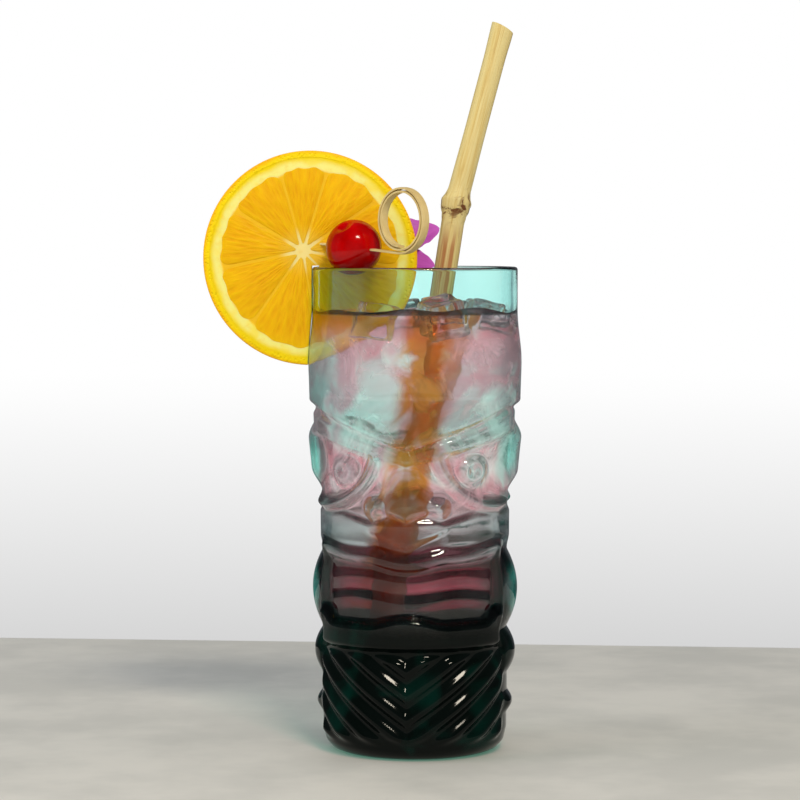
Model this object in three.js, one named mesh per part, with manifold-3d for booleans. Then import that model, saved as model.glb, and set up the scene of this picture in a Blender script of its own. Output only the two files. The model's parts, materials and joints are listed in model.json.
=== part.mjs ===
// Tiki glass served as a long drink: a pressed glass tumbler with an idol's face in relief, filled with
// a dark iced drink, with a bamboo straw, an orange wheel on the rim, a cherry on a loop pick and an orchid.
// Millimetres, +Z up, origin at the centre of the glass's flat foot, the face looking along -Y.
import * as THREE from 'three';
import { mergeVertices, toCreasedNormals } from 'three/addons/utils/BufferGeometryUtils.js';
import { ConvexGeometry } from 'three/addons/geometries/ConvexGeometry.js';
import Module from 'manifold-3d';

const wasm = await Module();
wasm.setup();

const degree = Math.PI / 180;

// Clearances between pieces that lie against, or pass through, each other.
const restGap = 0.3;
const boreGap = 0.3;

// Glass. Its outline and relief are drawn for a nominal height and rim, and stretch with the real ones.
const glassHeight = 165;
const rimRadius = 35;
const nominalHeight = 165;
const nominalRim = 35;
const lipWall = 2;
const baseThickness = 12;
const glassSides = 72;
const reliefRows = 42;
const boreAtRim = rimRadius - lipWall;

// Drink, and how far the garnishes are turned off the face.
const headspace = 15;
const drinkLevel = glassHeight - headspace;
const garnishTurn = 5;

// Straw: it stands on the glass's floor and leans on the rim's inside.
const strawRadius = 4.1;
const strawBore = 2.1;
const strawRimBearing = 67.6;
const strawFootReach = 14.7;
const strawFootBearing = 210;
const strawNodeHeight = glassHeight + 21;
const strawTopHeight = glassHeight + 84;
const strawUpperLean = [0.267, 0.21];

// Orange wheel: it hangs on the rim by a slit, its inner edge just past the glass's axis.
const wheelRadius = 36.4;
const wheelThickness = 7;
const wheelReach = 0.8;
const wheelRise = 3;
const wheelCentre = [wheelReach - wheelRadius, 0, glassHeight + wheelRise];
const rindThickness = 2;
const pithThickness = 3.9;
const fleshRadius = wheelRadius - rindThickness - restGap - pithThickness;
const coreOffset = [-2.4, 2.4];
const membraneHalf = 0.55;
const coreRadius = 2.2;
const membraneAngles = [34, 73, 106, 149, 192, 235, 279, 315, 350];

// Cherry: it leans on the wheel's face and dips inside the rim.
const cherryRadius = 9.7;
const cherryRise = 6.6;
const cherryRimGap = 1.3;
const cherryDipRadius = Math.sqrt(Math.max(cherryRadius ** 2 - cherryRise ** 2, 0));
const cherryOut = boreAtRim - cherryRimGap - cherryDipRadius;
const cherryAhead = wheelThickness / 2 + restGap + cherryRadius;
const cherryCentre = [-Math.sqrt(cherryOut ** 2 - cherryAhead ** 2), -cherryAhead, glassHeight + cherryRise];

// Loop pick: a flat strip through the cherry and the wheel, wound into a flat coil in front.
const pickWidth = 3;
const pickThickness = 0.8;
const pickBearing = -46;
const pickDrop = -4.5;
const pickTail = 40;
const loopRadius = 11;
const loopTurns = 2;
const loopClear = 2;
const loopReach = cherryRadius + loopClear + restGap + loopRadius;
const pickHole = Math.hypot(pickWidth, pickThickness) / 2 + boreGap;

// Orchid: it lies behind the wheel with one petal against the straw, its stem down in the ice.
const petalLength = 21.5;
const petalBearing = 18;
const orchidTilt = 50;
const orchidBehind = 12;
const orchidRise = 6;
const sepalLength = 21;
const leftSepalBearing = 207;
const stemRadius = 1.1;
const stemDepth = 13;

const clamp = THREE.MathUtils.clamp;

// 0 to 1 over a width, with soft ends.
function ease(value, start, end) {
  const t = clamp((value - start) / (end - start), 0, 1);
  return t * t * (3 - 2 * t);
}

// A soft bump: 1 in the middle, 0 beyond the half width.
function bump(distance, halfWidth) {
  const t = clamp(Math.abs(distance) / halfWidth, 0, 1);
  return (1 - t * t) * (1 - t * t);
}

// Interpolation through a short list of [height, radius] pairs: soft above a height, straight below it.
function alongProfile(profile, height, softFrom = 8) {
  for (let k = 1; k < profile.length; k += 1) {
    const [highZ, highR] = profile[k - 1];
    const [lowZ, lowR] = profile[k];
    if (height >= lowZ) {
      const t = clamp((height - lowZ) / (highZ - lowZ), 0, 1);
      const share = lowZ >= softFrom ? ease(t, 0, 1) : t;
      return lowR + (highR - lowR) * share;
    }
  }
  return profile[profile.length - 1][1];
}

const bodyProfile = [[165, 35], [150, 35], [133, 36.4], [122, 36.1], [116.5, 33.5], [90, 31.6], [44, 31.3],
  [24, 31.6], [8, 31.4], [3.5, 30.4], [1.2, 28.4], [0, 25.5]];
const boreProfile = [[165, 33], [132, 32.6], [116, 30.8], [98, 29.4], [70, 28.9], [44, 28.7], [24, 27.6]];
const boreCorner = [[5, 26.2], [1.4, 22.5], [0, 17]];
const foreheadRadius = 36.05;
const arcPerDegree = 0.576;

// 1 in the middle of a round-topped bump and 0 from its rim outwards.
function dome(distance, edge) {
  return ease(1 - distance, 0, edge);
}

// The V where the forehead ends, and the lower edge of the eyebrow band under it.
function browTop(turn) {
  return 103.8 + 14.4 * clamp(turn / 68, 0, 1);
}

function browLow(turn) {
  return 100.4 + 8.8 * clamp(turn / 68, 0, 1);
}

function foreheadAndBrow(turn, z) {
  const top = browTop(turn);
  const low = browLow(turn);
  const plain = alongProfile(bodyProfile, z);
  const half = (top - low) / 2 + 1.2;
  let height = Math.max(0, foreheadRadius - plain) * ease(z, top - 0.6, top + 2);
  height += 2.3 * dome(Math.abs(z - (top + low) / 2 + 0.6) / half, 0.6) * (1 - 0.95 * ease(turn, 66, 86));
  height += 3.4 * dome(Math.hypot((90 - turn) / 27, (z - 101.5) / 13.6), 0.6);
  return height;
}

// A round eyeball with a sunk pupil, in a hollow under the brow that an oval lid band closes below.
function eye(turn, across, z) {
  const below = ease(browLow(turn) - z, -1, 1.6);
  const ring = Math.hypot((across - 34.5) / 25, (z - 107.5) / 22.6);
  let height = 2.3 * bump(ring - 1, 0.12) * ease(across, 6, 11) * (1 - ease(turn, 70, 84));
  height -= 0.6 * ease(0.92 - ring, 0, 0.1) * (1 - ease(turn, 62, 70));
  height += 2.7 * dome(Math.hypot((across - 24.5) / 8.4, (z - 97) / 6.6), 0.7);
  return height * below - 1.2 * bump(Math.hypot(across - 23.6, (z - 97.2) * 0.8), 3);
}

// A long nose that widens to two nostrils, the lip pointing down under it, and the cheek beside it.
function noseAndCheek(turn, across, z) {
  const half = 2 + 7.6 * ease(103 - z, 0, 16) + 3.2 * ease(92 - z, 0, 8);
  const under = 80.8 + 0.34 * across;
  const crest = clamp(1 - Math.hypot(across / half, 0.12), 0, 1);
  const ends = ease(z, under - 1, under + 2) * ease(107 - z, 0, 5);
  let height = (0.9 + 3.9 * ease(104 - z, 0, 18)) * crest * ends;
  height += 2.5 * dome(Math.hypot(across - 11.4, z - 85.2) / 5.2, 0.9);
  const point = 71.8 + 0.4 * across;
  height += 1.3 * ease(z, point - 1.2, point + 1.2) * ease(82.5 - z, 0, 3) * (1 - ease(across, 11, 15));
  const fold = 77.8 + 0.24 * Math.min(across, 25);
  height += 1.4 * ease(fold - z, -0.4, 2) * ease(z, 69.5, 74) * ease(across, 11, 15)
    * (1 - 0.5 * ease(turn, 60, 82));
  return height;
}

// A wide open mouth with two rows of teeth, framed by a brow-shaped upper lip and a heavy lower one.
function mouth(turn, z) {
  const top = 69 - 2.4 * bump(turn, 26) + 1.6 * ease(turn, 30, 66);
  const low = 46.6 + 2.4 * bump(turn, 24) + 4 * ease(turn, 50, 66);
  const side = ease(69 - turn, 0, 5);
  let height = -0.9 * ease(top - 3.2 - z, -1.6, 1.6) * ease(z, low - 1, low + 1) * side;
  height += 1.6 * bump(z - top - 0.2, 3.6) * side;
  height += 0.8 * (bump(z - 60.8, 3.6) + bump(z - 53.6, 3.8)) * (1 - ease(turn, 56, 64));
  height += 2.3 * ease(low - z, -0.8, 2) * ease(z, 36.2, 39.6) * (1 - ease(turn, 62, 71));
  height += 1.4 * bump(turn - 66, 5) * ease(z, 42, 49) * ease(73 - z, 0, 6);
  return height;
}

// The ear and the lobe below it stand on the seam between the two faces.
function ear(turn, z) {
  const upper = clamp(1 - ((z - 55.6) / 13.2) ** 2, 0, 1);
  const lower = clamp(1 - ((z - 34.5) / 7.8) ** 2, 0, 1);
  return 3.7 * Math.sqrt(clamp(1 - ((90 - turn) / 22.5) ** 2, 0, 1)) * upper
    + 2.9 * Math.sqrt(clamp(1 - ((90 - turn) / 18) ** 2, 0, 1)) * lower;
}

// Slanting strokes that run down to the middle of the foot.
function beard(turn, across, z) {
  const stroke = 0.5 + 0.5 * Math.cos((z - 0.68 * across - 14) / 8.2 * 2 * Math.PI);
  return 1.7 * stroke * ease(z, 4, 9) * ease(36.4 - z, 0, 3) * (1 - ease(turn, 64, 78))
    + 1.9 * bump(z - 16.8, 4.4) * ease(turn, 68, 84);
}

// Height of the face's relief above the plain wall. The turn is in degrees from the nose line, and the
// same face is pressed on the front and on the back.
function relief(turn, z) {
  const across = turn * arcPerDegree;
  const height = foreheadAndBrow(turn, z) + eye(turn, across, z) + noseAndCheek(turn, across, z)
    + mouth(turn, z) + ear(turn, z) + beard(turn, across, z);
  return height;
}

function foldTurn(angle) {
  const turned = Math.abs(((angle / degree + 90 + 540) % 360) - 180);
  return Math.min(turned, 180 - turned);
}

function outerRadius(angle, z) {
  const drawnZ = z * nominalHeight / glassHeight;
  const shown = ease(drawnZ, 2.5, 6) * (1 - ease(drawnZ, 121, 124));
  const drawn = alongProfile(bodyProfile, drawnZ) + relief(foldTurn(angle), drawnZ) * shown;
  return drawn * rimRadius / nominalRim;
}

// The bore follows its drawn profile down to a rounded corner that stands on the base.
const borePoints = boreProfile.map(([z, radius]) => [z * glassHeight / nominalHeight, radius])
  .concat(boreCorner.map(([rise, radius]) => [baseThickness + rise, radius]));

function boreRadius(z) {
  return alongProfile(borePoints, z, glassHeight) * boreAtRim / boreProfile[0][1];
}

// A closed skin through rings of points that all have the same count, with a point at each end or, if
// no ends are given, with the last ring joined to the first.
function skinRings(rings, startPoint, endPoint) {
  const positions = [];
  const indices = [];
  const count = rings[0].length;
  rings.forEach((ring) => ring.forEach((point) => positions.push(point.x, point.y, point.z)));
  const bands = startPoint ? rings.length - 1 : rings.length;
  for (let j = 0; j < bands; j += 1) {
    const next = (j + 1) % rings.length;
    for (let i = 0; i < count; i += 1) {
      const a = j * count + i;
      const b = j * count + (i + 1) % count;
      const c = next * count + (i + 1) % count;
      const d = next * count + i;
      indices.push(a, b, c, a, c, d);
    }
  }
  if (startPoint) {
    const first = positions.length / 3;
    const last = (rings.length - 1) * count;
    positions.push(startPoint.x, startPoint.y, startPoint.z, endPoint.x, endPoint.y, endPoint.z);
    for (let i = 0; i < count; i += 1) {
      const n = (i + 1) % count;
      indices.push(first, n, i);
      indices.push(first + 1, last + i, last + n);
    }
  }
  const geometry = new THREE.BufferGeometry();
  geometry.setAttribute('position', new THREE.Float32BufferAttribute(positions, 3));
  geometry.setIndex(indices);
  return geometry;
}

function circleRing(count, radiusAt, z) {
  const ring = [];
  for (let i = 0; i < count; i += 1) {
    const angle = (i / count) * 2 * Math.PI;
    const radius = radiusAt(angle);
    ring.push(new THREE.Vector3(radius * Math.cos(angle), radius * Math.sin(angle), z));
  }
  return ring;
}

// Round solid about the Z axis through [radius, z] pairs, poles first and last.
function turned(profile, count) {
  const rings = profile.slice(1, -1).map(([radius, z]) => circleRing(count, () => radius, z));
  const start = new THREE.Vector3(0, 0, profile[0][1]);
  const end = new THREE.Vector3(0, 0, profile[profile.length - 1][1]);
  return skinRings(rings, start, end);
}

function toSolid(geometry) {
  const bare = new THREE.BufferGeometry();
  bare.setAttribute('position', geometry.getAttribute('position').clone());
  if (geometry.index) bare.setIndex(geometry.index.clone());
  const merged = mergeVertices(bare, 1e-4);
  return new wasm.Manifold(new wasm.Mesh({
    numProp: 3,
    vertProperties: new Float32Array(merged.getAttribute('position').array),
    triVerts: new Uint32Array(merged.index.array),
  }));
}

// The largest connected body of a solid: a cut can leave crumbs behind.
function mainBody(solid) {
  const bodies = solid.decompose();
  bodies.sort((a, b) => b.volume() - a.volume());
  return bodies[0];
}

function toGeometry(solid) {
  const mesh = solid.getMesh();
  const geometry = new THREE.BufferGeometry();
  geometry.setAttribute('position', new THREE.Float32BufferAttribute(mesh.vertProperties, 3));
  geometry.setIndex(new THREE.Uint32BufferAttribute(mesh.triVerts, 1));
  return geometry;
}

// Points of a box with its corners cut off, placed and tilted.
function cubePoints(size, place, spin, grow, lift) {
  const half = size / 2 + grow;
  const cut = size * 0.13;
  const euler = new THREE.Euler(spin[0] * degree, spin[1] * degree, spin[2] * degree);
  const points = [];
  for (const sx of [-1, 1]) {
    for (const sy of [-1, 1]) {
      for (const sz of [-1, 1]) {
        points.push(new THREE.Vector3(sx * (half - cut), sy * half, sz * half));
        points.push(new THREE.Vector3(sx * half, sy * (half - cut), sz * half));
        points.push(new THREE.Vector3(sx * half, sy * half, sz * (half - cut)));
      }
    }
  }
  points.forEach((point) => {
    point.applyEuler(euler).add(new THREE.Vector3(place[0], place[1], place[2] + lift));
  });
  return points;
}

// Straight round rod from one point to another.
function rod(from, to, radius, count) {
  const start = new THREE.Vector3(...from);
  const end = new THREE.Vector3(...to);
  const axis = end.clone().sub(start).normalize();
  const turn = new THREE.Quaternion().setFromUnitVectors(new THREE.Vector3(0, 0, 1), axis);
  const rings = [start, end].map((centre) => circleRing(count, () => radius, 0)
    .map((point) => point.applyQuaternion(turn).add(centre)));
  return skinRings(rings, start, end);
}

// ---- Glass ----
function makeGlass() {
  const lip = 0.8;
  const drawnHeights = [0, 1.2, 3.5];
  for (let j = 0; j < reliefRows; j += 1) drawnHeights.push(6 + (j / (reliefRows - 1)) * 116);
  drawnHeights.push(125, 129, 133, 138, 144, 150);
  const heights = drawnHeights.map((z) => z * glassHeight / nominalHeight);
  heights.push(glassHeight - lip);
  const rings = heights.map((z) => circleRing(glassSides, (angle) => outerRadius(angle, z), z));
  rings.push(circleRing(glassSides, () => rimRadius - lipWall / 4, glassHeight));
  rings.push(circleRing(glassSides, () => boreAtRim + lipWall / 4, glassHeight));
  rings.push(circleRing(glassSides, () => boreAtRim, glassHeight - lip));
  borePoints.slice(1).forEach(([z]) => {
    rings.push(circleRing(glassSides, () => boreRadius(z), z));
  });
  return skinRings(rings, new THREE.Vector3(0, 0, 0), new THREE.Vector3(0, 0, baseThickness));
}

// ---- Straw ----
function onPlan(bearing, reach) {
  return [reach * Math.cos(bearing * degree), reach * Math.sin(bearing * degree)];
}

const strawFootHeight = baseThickness + restGap + strawRadius * 0.35;
const strawAtRim = onPlan(strawRimBearing, boreAtRim - restGap - strawRadius);
const strawBottom = [...onPlan(strawFootBearing, strawFootReach), strawFootHeight];
const strawLean = strawAtRim.map((place, k) => (place - strawBottom[k]) / (glassHeight - strawFootHeight));
const strawKnee = [...strawAtRim.map((place, k) => place + strawLean[k] * (strawNodeHeight - glassHeight)),
  strawNodeHeight];
const strawUpperRise = strawTopHeight - strawNodeHeight;
const strawTip = [...strawUpperLean.map((lean, k) => strawKnee[k] + lean * strawUpperRise), strawTopHeight];

function strawRadiusAt(z) {
  const swell = 1.3 * bump(z - strawNodeHeight, 7);
  const taper = -0.3 * ease(z, strawNodeHeight, strawNodeHeight + 30);
  return strawRadius + swell + (z > strawNodeHeight ? taper : 0);
}

function makeStraw() {
  const count = 14;
  const start = new THREE.Vector3(...strawBottom);
  const knee = new THREE.Vector3(...strawKnee);
  const tip = new THREE.Vector3(...strawTip);
  const lowerAxis = knee.clone().sub(start).normalize();
  const upperAxis = tip.clone().sub(knee).normalize();
  const slantCut = 0.28;
  function ringAt(z, inner) {
    const onLower = z <= strawNodeHeight;
    const from = onLower ? start : knee;
    const to = onLower ? knee : tip;
    const along = (z - from.z) / (to.z - from.z);
    const centre = from.clone().lerp(to, along);
    const blend = ease(z, strawNodeHeight - 8, strawNodeHeight + 8);
    const axis = lowerAxis.clone().lerp(upperAxis, blend).normalize();
    const turn = new THREE.Quaternion().setFromUnitVectors(new THREE.Vector3(0, 0, 1), axis);
    const radius = inner ? strawBore : strawRadiusAt(z);
    const ring = circleRing(count, () => radius, 0).map((point) => point.applyQuaternion(turn));
    const isTop = z === strawTopHeight;
    ring.forEach((point) => {
      if (isTop) point.z -= slantCut * point.x;
      point.add(centre);
    });
    return ring;
  }
  const nodeSteps = [-21, -10, -6, -3, -1, 0, 1, 3, 6, 11, 30];
  const outerZ = [strawFootHeight, glassHeight / 2, ...nodeSteps.map((step) => strawNodeHeight + step),
    strawTopHeight];
  const innerZ = [strawTopHeight, strawNodeHeight, glassHeight / 2, strawFootHeight];
  const rings = outerZ.map((z) => ringAt(z, false)).concat(innerZ.map((z) => ringAt(z, true)));
  return skinRings(rings);
}

// ---- Orange wheel ----
// The wall of the glass with a clearance all round: what the slit in the wheel has to pass.
function wallGauge() {
  const lowest = wheelCentre[2] - wheelRadius - 4;
  const levels = 7;
  const heights = [];
  for (let k = 0; k <= levels; k += 1) heights.push(lowest + (glassHeight + boreGap - lowest) * k / levels);
  const capped = (z) => Math.min(z, glassHeight);
  const outerAt = (angle, z) => outerRadius(angle, capped(z)) + boreGap;
  const innerAt = (z) => boreRadius(capped(z)) - boreGap;
  const outside = heights.map((z) => circleRing(glassSides, (angle) => outerAt(angle, z), z));
  const inside = heights.reverse().map((z) => circleRing(glassSides, () => innerAt(z), z));
  return toSolid(skinRings(outside.concat(inside)));
}

function standWheel(geometry) {
  geometry.rotateX(90 * degree);
  geometry.translate(wheelCentre[0], wheelThickness / 2, wheelCentre[2]);
  return geometry;
}

function circleShape(radius) {
  const shape = new THREE.Shape();
  shape.absarc(0, 0, radius, 0, 2 * Math.PI, false);
  return shape;
}

// Outline of one flesh segment, drawn from the core: two straight sides and a round outer end.
function segmentOutline(index, inset) {
  const count = membraneAngles.length;
  const from = membraneAngles[index];
  let to = membraneAngles[(index + 1) % count];
  if (to < from) to += 360;
  const half = (to - from) / 2 * degree;
  const middle = (from + to) / 2 * degree;
  const side = membraneHalf + inset;
  const apexOut = side / Math.sin(half);
  const apex = new THREE.Vector2(coreOffset[0], coreOffset[1])
    .add(new THREE.Vector2(Math.cos(middle), Math.sin(middle)).multiplyScalar(apexOut));
  const reach = fleshRadius - inset;
  function alongRay(angle, share) {
    const ray = new THREE.Vector2(Math.cos(angle), Math.sin(angle));
    const b = apex.dot(ray);
    const distance = -b + Math.sqrt(b * b - apex.lengthSq() + reach * reach);
    return apex.clone().add(ray.multiplyScalar(distance * share));
  }
  const nearShare = Math.max(0, (coreRadius + inset - apexOut) / reach);
  const points = [];
  points.push(alongRay(middle - half, nearShare + 0.05));
  points.push(alongRay(middle - half, 0.93));
  const arcSteps = 5;
  for (let k = 0; k <= arcSteps; k += 1) {
    const turn = middle + half * 0.8 * (2 * k / arcSteps - 1);
    points.push(alongRay(turn, 1));
  }
  points.push(alongRay(middle + half, 0.93));
  points.push(alongRay(middle + half, nearShare + 0.05));
  return points;
}

function extrudeFlat(shape, thickness, curveSegments) {
  return new THREE.ExtrudeGeometry(shape, { depth: thickness, bevelEnabled: false, curveSegments });
}

function makeWheel(gauge, pickGauge) {
  const pieces = {};
  const cut = (solid) => mainBody(solid.subtract(gauge).subtract(pickGauge));
  const rind = circleShape(wheelRadius);
  rind.holes.push(new THREE.Path().absarc(0, 0, wheelRadius - rindThickness, 0, 2 * Math.PI, true));
  pieces.orange_rind = cut(toSolid(standWheel(extrudeFlat(rind, wheelThickness, 26))));
  const pith = circleShape(wheelRadius - rindThickness - restGap);
  membraneAngles.forEach((angle, index) => {
    pith.holes.push(new THREE.Path(segmentOutline(index, 0).reverse()));
  });
  pieces.orange_pith = cut(toSolid(standWheel(extrudeFlat(pith, wheelThickness, 26))));
  membraneAngles.forEach((angle, index) => {
    const flesh = new THREE.Shape(segmentOutline(index, restGap));
    const solid = toSolid(standWheel(extrudeFlat(flesh, wheelThickness, 8)));
    pieces[`orange_segment_${index + 1}`] = cut(solid);
  });
  return pieces;
}

// ---- Pick and cherry ----
const pickAway = new THREE.Vector3(Math.cos(pickDrop * degree) * Math.cos(pickBearing * degree),
  Math.cos(pickDrop * degree) * Math.sin(pickBearing * degree), Math.sin(pickDrop * degree));
const pickSide = new THREE.Vector3(0, 0, 1).cross(pickAway).normalize();
const pickUp = pickAway.clone().cross(pickSide).normalize();

function onPick(along, up, side) {
  return new THREE.Vector3(...cherryCentre).addScaledVector(pickAway, along)
    .addScaledVector(pickUp, up).addScaledVector(pickSide, side);
}

// Middle line of the strip: straight from the tip through the cherry, then wound inwards as a flat coil.
class PickLine extends THREE.Curve {
  getPoint(t, target = new THREE.Vector3()) {
    const straight = pickTail + loopReach;
    const coil = loopTurns * 2 * Math.PI * loopRadius;
    const run = t * (straight + coil);
    if (run <= straight) return target.copy(onPick(run - pickTail, 0, 0));
    const turn = (run - straight) / loopRadius;
    const radius = loopRadius - (pickThickness + restGap) * turn / (2 * Math.PI);
    return target.copy(onPick(loopReach + radius * Math.sin(turn), loopRadius - radius * Math.cos(turn), 0));
  }
}

function makePick() {
  const strip = new THREE.Shape();
  strip.moveTo(-pickWidth / 2, -pickThickness / 2);
  strip.lineTo(pickWidth / 2, -pickThickness / 2);
  strip.lineTo(pickWidth / 2, pickThickness / 2);
  strip.lineTo(-pickWidth / 2, pickThickness / 2);
  strip.closePath();
  // Frames are built here because the strip must stay square to the coil's plane.
  const line = new PickLine();
  const steps = 62;
  const rings = [];
  const points = line.getSpacedPoints(steps);
  points.forEach((point, index) => {
    const before = points[Math.max(index - 1, 0)];
    const after = points[Math.min(index + 1, steps)];
    const along = after.clone().sub(before).normalize();
    const normal = pickSide.clone().cross(along).normalize();
    const taper = 0.3 + 0.7 * ease(index, 0, 3);
    rings.push(strip.getPoints().slice(0, 4).map((corner) => point.clone()
      .addScaledVector(pickSide, corner.x * taper)
      .addScaledVector(normal, corner.y * taper * -1)));
  });
  return skinRings(rings, points[0], points[steps]);
}

function makeCherry(pickGauge) {
  const profile = [];
  const rows = 14;
  for (let k = 0; k <= rows; k += 1) {
    const angle = -90 + 180 * k / rows;
    const radius = cherryRadius * Math.cos(angle * degree);
    const dimple = 2.2 * bump(radius, 3.6) * (angle > 0 ? 1 : 0);
    profile.push([radius, cherryRadius * 0.96 * Math.sin(angle * degree) - dimple]);
  }
  const body = turned(profile, 22);
  body.rotateY(-24 * degree);
  body.rotateX(28 * degree);
  body.translate(...cherryCentre);
  return mainBody(toSolid(body).subtract(pickGauge));
}

// ---- Orchid ----
// One petal: a thin cupped leaf running out from the flower's centre, closed at both ends.
function makeLeaf({ length, width, bearing, layer, start, cup, curl, roundness }) {
  const rows = 7;
  const around = 8;
  const rings = [];
  const half = 0.42;
  const lift = (x, y) => layer + curl * x * x / length + cup * y * y / width;
  for (let j = 1; j < rows; j += 1) {
    const t = j / rows;
    const x = start + (length - start) * t;
    const w = width / 2 * Math.pow(Math.sin(Math.PI * Math.pow(t, roundness)), 0.75);
    const ring = [];
    for (let i = 0; i < around; i += 1) {
      const angle = -(i / around) * 2 * Math.PI;
      const y = w * Math.cos(angle);
      ring.push(new THREE.Vector3(x, y, lift(x, y) - half * Math.sin(angle)));
    }
    rings.push(ring);
  }
  const leaf = skinRings(rings, new THREE.Vector3(start, 0, lift(start, 0)),
    new THREE.Vector3(length, 0, lift(length, 0)));
  return leaf.rotateZ(bearing * degree);
}

// The flower lies inside the rim, or on top of it where its lower left sepal is too long for that.
const orchidPlan = [strawAtRim[0] - strawRadius - petalLength * Math.cos(petalBearing * degree),
  wheelThickness / 2 + orchidBehind];
const sepalSide = sepalLength * Math.cos(leftSepalBearing * degree);
const sepalFall = -sepalLength * Math.sin(leftSepalBearing * degree);
const sepalBack = orchidPlan[1] - sepalFall * Math.cos(orchidTilt * degree);
const sepalReach = Math.hypot(orchidPlan[0] + sepalSide, sepalBack);
const riseOnRim = sepalFall * Math.sin(orchidTilt * degree) + 1 + restGap;
const flowerRise = sepalReach < boreAtRim - restGap ? orchidRise : Math.max(orchidRise, riseOnRim);
const orchidCentre = [...orchidPlan, glassHeight + flowerRise];

function placeFlower(geometry) {
  return geometry.rotateX(orchidTilt * degree).translate(...orchidCentre);
}

function makeOrchid() {
  const pieces = {};
  const sepal = { length: sepalLength, width: 9, layer: 0, start: 2.8, cup: 0.5, curl: 0.1, roundness: 0.8 };
  const petal = {
    length: petalLength, width: 14, layer: 1.6, start: 2.6, cup: 0.6, curl: 0.08, roundness: 0.7,
  };
  const lip = { length: 11, width: 9, layer: 1.7, start: 2.6, cup: 1.5, curl: 0.28, roundness: 0.7 };
  pieces.orchid_sepal_top = placeFlower(makeLeaf({ ...sepal, bearing: 92 }));
  pieces.orchid_sepal_left = placeFlower(makeLeaf({ ...sepal, bearing: leftSepalBearing }));
  pieces.orchid_sepal_right = placeFlower(makeLeaf({ ...sepal, bearing: -27 }));
  pieces.orchid_petal_left = placeFlower(makeLeaf({ ...petal, bearing: 160 }));
  pieces.orchid_petal_right = placeFlower(makeLeaf({ ...petal, bearing: petalBearing }));
  pieces.orchid_lip = placeFlower(makeLeaf({ ...lip, bearing: 270 }));
  const column = turned([[0, -3], [1.2, -2.2], [1.7, 0], [1.8, 2.5], [1.4, 4.6], [0, 5.4]], 10);
  pieces.orchid_column = placeFlower(column);
  const stemTop = new THREE.Vector3(0, 0, -3).applyAxisAngle(new THREE.Vector3(1, 0, 0), orchidTilt * degree)
    .add(new THREE.Vector3(...orchidCentre));
  const stemHead = stemTop.z - 3 * restGap;
  const stemFoot = drinkLevel - stemDepth;
  const stemAt = (z) => [stemTop.x, stemTop.y, z];
  pieces.orchid_stem = rod(stemAt(stemFoot), stemAt(stemHead), stemRadius, 10);
  return { pieces, stem: [stemTop.x, stemTop.y] };
}

// ---- Drink and ice ----
// Cubes are placed as shares of the bore, so that they fill it at any size. Those beside the wheel are
// counted from its faces, one from the straw's side, and one by its distance from the axis.
const iceShare = boreRadius(drinkLevel) / 32.9;
const wheelFace = wheelThickness / 2 + restGap;
const strawSide = strawBottom[0] + strawLean[0] * (drinkLevel - strawBottom[2]) - strawRadius;

function icePlan({ place, besideWheel = 0, besideStraw = 0, fromAxis = false }) {
  const across = place[0] * iceShare;
  const y = place[1] * iceShare + besideWheel * wheelFace;
  if (fromAxis) return [-Math.sqrt(across ** 2 - y ** 2), y];
  return [across + besideStraw * strawSide, y];
}

const iceCubes = [
  { size: 14, place: [8.8, -19.2], rise: -2, spin: [14, -8, 22] },
  { size: 13, place: [23.4, -2.6], rise: -2.4, spin: [-9, 12, 8] },
  { size: 10.5, place: [8.2, -0.6], rise: 0.2, spin: [8, -12, 14] },
  { size: 14, place: [-12.2, -13], rise: -3.6, spin: [-7, 9, -14], besideWheel: -1 },
  { size: 11.5, place: [-23.7, 7.6], rise: -2.4, spin: [10, 6, 12], besideWheel: 1, fromAxis: true },
  { size: 12, place: [-8.45, 17.8], rise: -2.8, spin: [-10, -6, 12], besideWheel: 1, besideStraw: 1 },
  { size: 11, place: [20.4, 13.2], rise: -2.2, spin: [9, 10, -32] },
].map((cube) => ({
  size: cube.size * iceShare,
  place: [...icePlan(cube), drinkLevel + cube.rise],
  spin: cube.spin,
}));

function makeIce() {
  const solids = iceCubes.map(({ size, place, spin }) => toSolid(new ConvexGeometry(
    cubePoints(size, place, spin, 0, 0))));
  const rooms = iceCubes.map(({ size, place, spin }) => {
    const lowPoints = cubePoints(size, place, spin, restGap, 0);
    const points = lowPoints.concat(cubePoints(size, place, spin, restGap, 20));
    return toSolid(new ConvexGeometry(points));
  });
  return { solids, rooms };
}

function makeDrink(rooms, stem) {
  const heights = borePoints.slice(1).map(([z]) => z).filter((z) => z < drinkLevel).reverse();
  heights[0] += restGap;
  heights.push(drinkLevel);
  const rings = heights.map((z) => circleRing(glassSides, () => boreRadius(z - restGap) - restGap, z));
  const bottom = new THREE.Vector3(0, 0, heights[0]);
  let solid = toSolid(skinRings(rings, bottom, new THREE.Vector3(0, 0, drinkLevel)));
  rooms.forEach((room) => {
    solid = solid.subtract(room);
  });
  const beyond = 12;
  const roomGap = boreGap + 0.1;
  const strawRoomTop = [...strawAtRim, glassHeight];
  const strawRoomFoot = [strawBottom[0] - strawLean[0] * beyond, strawBottom[1] - strawLean[1] * beyond,
    strawBottom[2] - beyond];
  solid = solid.subtract(toSolid(rod(strawRoomFoot, strawRoomTop, strawRadius + roomGap, 20)));
  const roomDepth = wheelThickness + 2 * restGap;
  const wheelRoom = standWheel(extrudeFlat(circleShape(wheelRadius + roomGap), roomDepth, 28));
  solid = solid.subtract(toSolid(wheelRoom.translate(0, restGap, 0)));
  const stemRoomFoot = [...stem, drinkLevel - stemDepth - restGap];
  solid = solid.subtract(toSolid(rod(stemRoomFoot, [...stem, glassHeight], stemRadius + roomGap, 12)));
  return mainBody(solid);
}

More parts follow.
